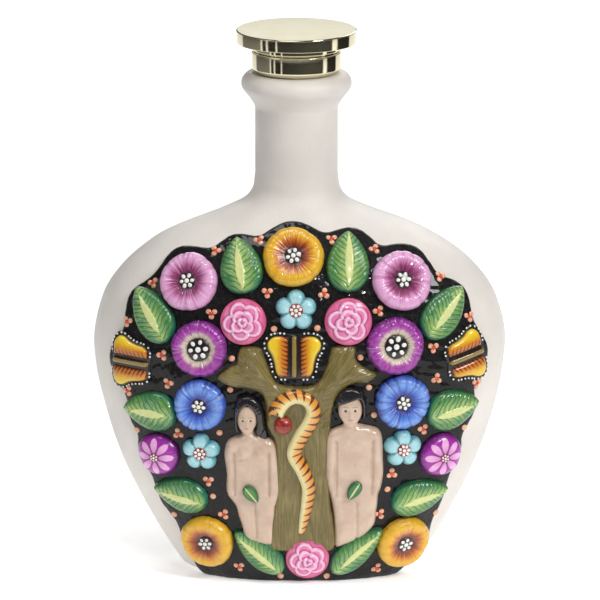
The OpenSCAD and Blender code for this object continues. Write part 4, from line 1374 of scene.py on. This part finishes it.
# Outlines of the bodies about the seat, from the crown down the right side and up the left
WOMAN_BODY = [
    (-1.7, 28.5), (1.2, 27.6), (2.6, 24), (2.4, 20), (1, 17.2), (1.7, 15.3), (5, 13.9), (8.6, 12.7),
    (10.6, 10.6), (11.9, 6.5), (12.5, 2), (12.9, -4), (13.2, -10), (13, -14.5), (11.9, -18),
    (10.9, -20.8), (10.9, -25), (10.4, -30), (9.8, -39), (5.5, -40), (1, -39.5), (-3.6, -37.6),
    (-5.2, -30), (-6.6, -25.5), (-7.6, -21), (-9.2, -18.4), (-11.4, -15.4), (-12, -11), (-11.6, -6),
    (-12, -1), (-12.6, 3.5), (-12.2, 8), (-10.8, 11.2), (-8, 13), (-4.8, 14.2), (-4.1, 16),
    (-4.6, 17.2), (-5.8, 20), (-6, 24), (-4.6, 27.6),
]
MAN_BODY = [
    (-2, 33.5), (1.4, 32.4), (3.2, 28.5), (3, 24), (1.4, 20.8), (2.6, 19.4), (6.6, 18.4),
    (10.6, 17.2), (12.6, 14.6), (13.4, 10), (13.6, 4), (13.9, -3), (13.7, -8), (12.8, -12.5),
    (11.8, -16), (11.6, -20.5), (11.1, -24), (10.5, -30), (6.5, -35), (1.5, -38), (-3.5, -40),
    (-7.8, -40.5), (-8.3, -32), (-8.8, -25), (-9.6, -19.5), (-11, -14), (-12.6, -8.5), (-13.3, -4),
    (-13.3, 3), (-13.2, 10), (-12.6, 14), (-11, 16.4), (-7.6, 18.2), (-5.6, 19.2), (-4.8, 20.8),
    (-6.8, 24), (-7.2, 28.5), (-5.4, 32.4),
]
# Hair outlines and the openings that leave the face free, about the middle of the head
WOMAN_HAIR = [
    (-6.2, 3), (-6, 7), (-4.2, 10.4), (-0.6, 12), (3.2, 11.2), (6.4, 8), (7.8, 3.4), (8.4, -2), (9.3, -6.6),
    (9.2, -10.6), (7.6, -12.2), (5.6, -11), (4.2, -7), (0, -6.4), (-3.6, -6.2), (-5.4, -5.6), (-6.2, -2),
]
WOMAN_OPENING = [
    (-3.7, 0.8), (-2.9, 3.8), (-1.2, 5.9), (0.1, 6.8), (1.6, 5.9), (3.3, 3.8), (4, 0.8), (4, -2.2),
    (3.6, -5), (4.4, -8.4), (5, -12), (-5.4, -12), (-4.6, -8.4), (-3.5, -5), (-3.7, -2.2),
]
MAN_HAIR = [
    (-6.2, 1.2), (-6.7, 5), (-5.2, 8.6), (-1.6, 10.9), (2.8, 10.8), (6, 8.4), (7.4, 4.6), (7.6, 0.6),
    (7, -3.4), (5.4, -4.6), (2, -1), (-3, 0.4),
]
MAN_OPENING = [
    (-7.4, 1.6), (-4.6, 2.4), (-1.8, 3.2), (1.2, 4.2), (3.8, 5), (4.9, 3.4), (5.3, 0.4), (5.2, -5.6),
    (0, -9), (-7.4, -6),
]


def figure_seat(node, form):
    """The seat about which a figure's form is given."""
    seat, _ = seat_of(node)
    middle = ((form.head + CROWN_RISE) + (min(form.left_foot, form.right_foot) - SOLE_DROP)) / 2
    x, z = on_front(seat.origin - middle * seat.v)
    return Seat(float(x), float(z))


def sculpt_figure(u, v, depth, form):
    """Head, face, trunk, arms and legs of a simple modelled figure."""
    shoulder, wide, head, left_foot, right_foot, lean, face_w, face_h, bust = form
    body = Sculpt(u, v, rounded(depth, 3.8, 3.7))
    body.bump(0, shoulder - 6, 6, 6, 0.5)
    body.bump(0, -7, 5, 6, 0.5)
    body.bump(0, 0, 7, 2.5, -0.2)
    for side in (-1, 1):
        arm_top, arm_end = (side * (wide - 1.0), shoulder - 7), (side * (wide - 1.2), -14)
        body.score(arm_top, arm_end, 0.75, -0.95)
        body.score((side * (wide + 0.7), shoulder - 4), (side * (wide + 1.6), -12), 1.6, 0.4)
        body.bump(side * (wide - 0.4), shoulder - 2.6, 2.6, 2.4, 0.4)
        body.bump(side * (wide + 1.4), -14.5, 1.6, 2.2, -0.25)
        body.bump(side * 3.9, shoulder - 7.0, 2.5, 2.4, bust)
        body.bump(side * 4.0, shoulder - 9.6, 2.3, 0.7, -0.4 * bust)
        body.score((side * 1.6, shoulder - 1.2), (side * 6.4, shoulder - 0.6), 0.6, 0.22)
        foot = left_foot if side < 0 else right_foot
        body.bump(1.2 + side * 4, (foot - 19) / 2, 2.8, 7, 0.35)
        body.bump(1.2 + side * 3.8, foot * 0.8, 2.0, 1.6, 0.25)
    body.bump(0.1, shoulder - 17.6, 0.45, 0.6, -0.35)
    body.score((1.2, -18), (2.0, min(left_foot, right_foot) - 6), 0.7, -0.75)
    body.bump(lean / 2, shoulder + 3.4, 4.5, 1.6, -0.5)
    body.ball(lean, head + 0.6, face_w + 0.7, face_h + 1.6, 2.6, 5.6)
    eye, nose, mouth = head + 0.1 * face_h, head - 0.36 * face_h, head - 0.6 * face_h
    scale = face_w / FEATURE_W
    for side in (-1, 1):
        body.bump(lean + side * 1.75 * scale, eye, 1.05 * scale, 0.6 * scale, -0.3)
        body.bump(lean + side * 2.2 * scale, head - 0.3 * face_h, 1.4 * scale, 1.2 * scale, 0.16)
        body.bump(lean + side * 0.5 * scale, nose, 0.4 * scale, 0.35 * scale, 0.22)
    body.bump(lean, eye + 1.5 * scale, 2.8 * scale, 0.7 * scale, 0.12)
    body.bump(lean, (eye + nose) / 2, 0.5 * scale, 0.42 * (eye - nose), 0.6)
    body.bump(lean, nose, 0.6 * scale, 0.5 * scale, 0.38)
    body.bump(lean, mouth + 0.26 * scale, 1.0 * scale, 0.25 * scale, 0.24)
    body.bump(lean, mouth - 0.28 * scale, 0.85 * scale, 0.27 * scale, 0.24)
    body.bump(lean, head - 0.88 * face_h, 1.3 * scale, 0.8 * scale, 0.25)
    return body.height


def skin_paint(name, form):
    """Flesh colour with brushed warmth, painted eyes with a painted highlight on each, brows and lips."""
    lean, head, face_w, face_h = form.lean, form.head, form.face_w, form.face_h
    scale = face_w / FEATURE_W
    graph = lacquered(name, Roughness=0.3, Coat_Weight=1.0, Coat_Roughness=0.06)
    u, v, depth = graph.attribute("place")
    u, v = graph.math("ABSOLUTE", u - lean), v - head
    tone = graph.noise(150.0, detail=5.0)
    fine = graph.noise(700.0, detail=4.0)
    colour = graph.mix(graph.step(tone, 0.3, 0.72), srgb(196, 168, 146), srgb(212, 186, 164))
    colour = graph.mix(graph.step(depth, 1.2, 0.0) * 0.3, colour, srgb(164, 126, 102))

    def oval(cu, cv, wide, tall):
        return ((u - cu) / wide) ** 2.0 + ((v - cv) / tall) ** 2.0

    def paint(shape, tint, strength=1.0):
        return graph.mix(graph.step(shape, 1.15, 0.85) * strength, colour, tint)

    eye, mouth, apart = 0.1 * face_h, -0.6 * face_h, 1.75 * scale
    colour = paint(oval(2.4 * scale, -0.3 * face_h, 1.4 * scale, 1.2 * scale), srgb(204, 150, 124), 0.3)
    brow = eye + 1.5 * scale - (u - apart) ** 2.0 * 0.16
    arch = graph.math("ABSOLUTE", v - brow) / (0.13 * scale)
    span = graph.math("ABSOLUTE", u - apart) / (1.1 * scale)
    colour = paint(graph.math("MAXIMUM", arch, span), srgb(104, 72, 54), 0.6)
    colour = paint(oval(apart, eye, 0.95 * scale, 0.5 * scale), srgb(224, 212, 198), 0.7)
    colour = paint(oval(apart, eye, 0.56 * scale, 0.5 * scale), srgb(26, 16, 12))
    # Painted highlight: a small white dot on each eye.
    colour = paint(oval(apart - 0.12 * scale, eye + 0.16 * scale, 0.12 * scale, 0.12 * scale), WHITE)
    colour = paint(oval(0.0, mouth, 1.05 * scale, 0.42 * scale), srgb(180, 108, 92), 0.6)
    graph.bump(fine + tone * 2.0, 0.00024)
    return graph.finish(colour)


def figure(node, form, outline):
    seat = figure_seat(node, form)
    inside = outline_distance(spline(outline, 4, closed=True))
    clay = Clay()
    foot = min(form.left_foot, form.right_foot)
    reach = (-form.half_width - 6, form.half_width + 6, foot - 13, form.head + 11)
    relief(clay, seat, reach, 0.3, inside, lambda u, v, depth: sculpt_figure(u, v, depth, form))
    clay.piece(node + "_clay", [skin_paint(node + "_skin_paint", form)], [node], slot="skin_paint")


def hair(node, figure_node, form, outline, opening, material):
    """Combed hair over the head, open in front of the face."""
    seat = figure_seat(figure_node, form)
    around = outline_distance(spline(outline, 5, closed=True))
    face = outline_distance(spline(opening, 5, closed=True))
    lean, head = form.lean, form.head

    def distance(u, v):
        return np.minimum(around(u - lean, v - head), -face(u - lean, v - head))

    def mark(u, v, depth):
        turn = np.arctan2(v - head - 3, u - lean)
        far = np.hypot(u - lean, v - head - 3)
        strand = turn * 5 * smooth(v - head, -3, 3) + (u - lean) * 1.0 * (1 - smooth(v - head, -3, 3))
        return far, turn, strand

    def height(u, v, depth):
        crown = np.sqrt(np.maximum(1 - ((u - lean) / 9) ** 2 - ((v - head - 2) / 12.5) ** 2, 0))
        _, _, strand = mark(u, v, depth)
        comb = 0.03 * np.sin(strand * 4.2) + 0.02 * np.sin(strand * 9 + v * 0.7)
        parting = 0.35 * np.exp(-(((u - lean) / 0.5) ** 2)) * (v > head + 5)
        return (2.5 + 3.3 * crown + comb - parting) * rounded(depth, 1.5, 1.0)

    clay = Clay()
    reach = (lean - 10, lean + 11, head - 14, head + 14)
    relief(clay, seat, reach, 0.3, distance, height, mark)
    clay.piece(node + "_clay", [material], [node], slot="hair_black")


# How much bigger the fig leaves are than the CAD's
FIG_LEAF_SPREAD = 1.2


def fig_leaf(node, turn, material):
    """A small painted leaf with a pale midrib."""
    seat, halves = seat_of(node, turn)
    half_long, half_wide = (FIG_LEAF_SPREAD * k for k in halves)
    heights = (node_points(node) - seat.origin) @ seat.normal
    seat = Seat(seat.x, seat.z, turn, GROUND_TOP + heights.max() - 1.1)

    def mark(u, v, depth):
        rib = 0.42 * np.sin(math.pi * np.clip(u / (2 * half_long) + 0.5, 0, 1)) ** 0.8
        return rib - np.abs(v), (u - 0.8 * np.abs(v)) / 1.1, 0 * u

    clay = Clay()
    reach = (-half_long - 1, half_long + 1, -half_wide - 1, half_wide + 1)
    relief(clay, seat, reach, 0.2, outline_distance(leaf_outline(half_long, half_wide)),
           lambda u, v, depth: rounded(depth, 1.1, 1.0), mark, -1.6)
    clay.piece(node + "_clay", [material], [node], slot="leaf_green")


def people():
    black = hair_paint()
    green = leaf_paint()
    figure("woman", WOMAN, WOMAN_BODY)
    figure("man", MAN, MAN_BODY)
    hair("woman_hair", "woman", WOMAN, WOMAN_HAIR, WOMAN_OPENING, black)
    hair("man_hair", "man", MAN, MAN_HAIR, MAN_OPENING, black)
    fig_leaf("woman_fig_leaf", -52, green)
    fig_leaf("man_fig_leaf", -122, green)


# ---- Stage, lights and camera ----

def studio_card(name, corners, shade, glow=0.0, camera=False):
    """A flat matt card of the studio, out of the camera's sight unless camera is set."""
    mesh = bpy.data.meshes.new(name)
    mesh.from_pydata(corners, [], [list(range(len(corners)))])
    graph = Graph(name + "_paper", Roughness=0.9, Specular_IOR_Level=0.1)
    graph.surface.inputs["Emission Color"].default_value = (1, 1, 1, 1)
    graph.surface.inputs["Emission Strength"].default_value = glow
    tone = graph.noise(3.0)
    mesh.materials.append(graph.finish(graph.mix(tone, srgb(shade, shade, shade), srgb(*[shade + 4] * 3))))
    card = bpy.data.objects.new(name, mesh)
    card.visible_camera = camera
    bpy.context.scene.collection.objects.link(card)


def sector(near, far, start, end, height):
    """Corners of a ring sector before the bottle. Angles are in degrees, to the right of straight ahead."""
    turns = [math.radians(start + (end - start) * k / 12) for k in range(13)]
    near_edge = [(near * math.sin(a), -near * math.cos(a), height) for a in turns]
    far_edge = [(far * math.sin(a), -far * math.cos(a), height) for a in reversed(turns)]
    return near_edge + far_edge


# Name, start and end in degrees round from the front, and shade
DARK_CARDS = [
    ("card_far_left", -124, -72, 150), ("card_left", -68, -60, 60), ("card_near_left", -56, -40, 46),
    ("card_middle", -37, 72, 62), ("card_right", 84, 120, 46),
]


# Metres: the floor's radius, the near and far edges of the cards and their height above the floor
FLOOR_R = 9
CARD_NEAR, CARD_FAR, CARD_Z = 0.5, 3.0, 0.004


def stage():
    """A pale floor, and dark cards in front and at the sides for the gilt and the lacquer to mirror.

    The camera can't see the cards, but they shade the floor. It looks grey there from the side or behind.
    """
    rim = [(FLOOR_R * math.cos(k * TURN / 96), FLOOR_R * math.sin(k * TURN / 96), 0.0) for k in range(96)]
    studio_card("floor", rim, 246, 0.4, camera=True)
    for name, start, end, shade in DARK_CARDS:
        studio_card(name, sector(CARD_NEAR, CARD_FAR, start, end, CARD_Z), shade)


# Name, place and width in metres, and watts: key and small flash from the right, fill from the left
LIGHTS = [
    ("key", (1.3, -1.3, 1.5), 0.7, 30), ("fill", (-1.7, -1.1, 1.0), 0.9, 3.5),
    ("flash", (0.6, -2.5, 1.6), 0.1, 9), ("top", (-0.3, -0.4, 1.9), 0.8, 12),
    ("back", (0.3, 1.8, 1.2), 1.4, 16),
]
LIGHT_AIM = (0, 0, 0.12)
# Strength of the room as a light and as the backdrop that the camera sees
ROOM_LIGHT, BACKDROP = 0.12, 1.1


def soft_light(name, place, size, power):
    data = bpy.data.lights.new(name, "AREA")
    data.shape = "SQUARE"
    data.size = size
    data.energy = power
    light = bpy.data.objects.new(name, data)
    light.location = place
    light.rotation_mode = "QUATERNION"
    light.rotation_quaternion = (Vector(LIGHT_AIM) - Vector(place)).to_track_quat("-Z", "Y")
    light.visible_camera = False
    bpy.context.scene.collection.objects.link(light)


def lights():
    """The five lights, in a dim white room that the camera sees as a bright backdrop."""
    for light in LIGHTS:
        soft_light(*light)
    world = bpy.data.worlds.new("studio")
    bpy.context.scene.world = world
    world.use_nodes = True
    nodes, links = world.node_tree.nodes, world.node_tree.links
    path = nodes.new("ShaderNodeLightPath")
    strength = nodes.new("ShaderNodeMapRange")
    strength.inputs["To Min"].default_value = ROOM_LIGHT
    strength.inputs["To Max"].default_value = BACKDROP
    links.new(path.outputs["Is Camera Ray"], strength.inputs["Value"])
    links.new(strength.outputs[0], nodes["Background"].inputs["Strength"])
    nodes["Background"].inputs["Color"].default_value = (1, 1, 1, 1)
    bpy.context.scene.view_settings.view_transform = "Standard"


# Millimetres of the lens; in metres, where the camera stands and what it looks at
LENS = 434
CAMERA_PLACE = (0.0002, -3.23, 0.8899)
CAMERA_AIM = (0.0002, 0, 0.1244)


def camera():
    """The long lens in front of the bottle, a little above it."""
    data = bpy.data.cameras.new("camera")
    data.lens, data.sensor_width = LENS, 36
    data.clip_start, data.clip_end = 0.1, 40
    view = bpy.data.objects.new("camera", data)
    view.location = CAMERA_PLACE
    view.rotation_mode = "QUATERNION"
    view.rotation_quaternion = (Vector(CAMERA_AIM) - Vector(CAMERA_PLACE)).to_track_quat("-Z", "Y")
    bpy.context.scene.collection.objects.link(view)
    bpy.context.scene.camera = view


camera()
lights()
stage()
bottle()
relief_ground()
stopper()
flowers()
flower_centres()
leaf_material = leaf_paint()
for leaf_number, (leaf_node, leaf_turn) in enumerate(LEAF_TURNS.items()):
    leaf(leaf_node, leaf_turn, leaf_material, leaf_number)
wing_black = plain_paint("wing_black_paint", srgb(14, 12, 14), srgb(28, 25, 27))
wing_white = plain_paint("wing_dot_paint", srgb(232, 228, 222), WHITE)
wing_materials = [wing_black, wing_paint(), body_paint(), wing_white]
for butterfly_node, butterfly_turn in BUTTERFLY_TURNS.items():
    butterfly(butterfly_node, butterfly_turn, wing_materials)
berries()
tree()
snake()
apple()
people()
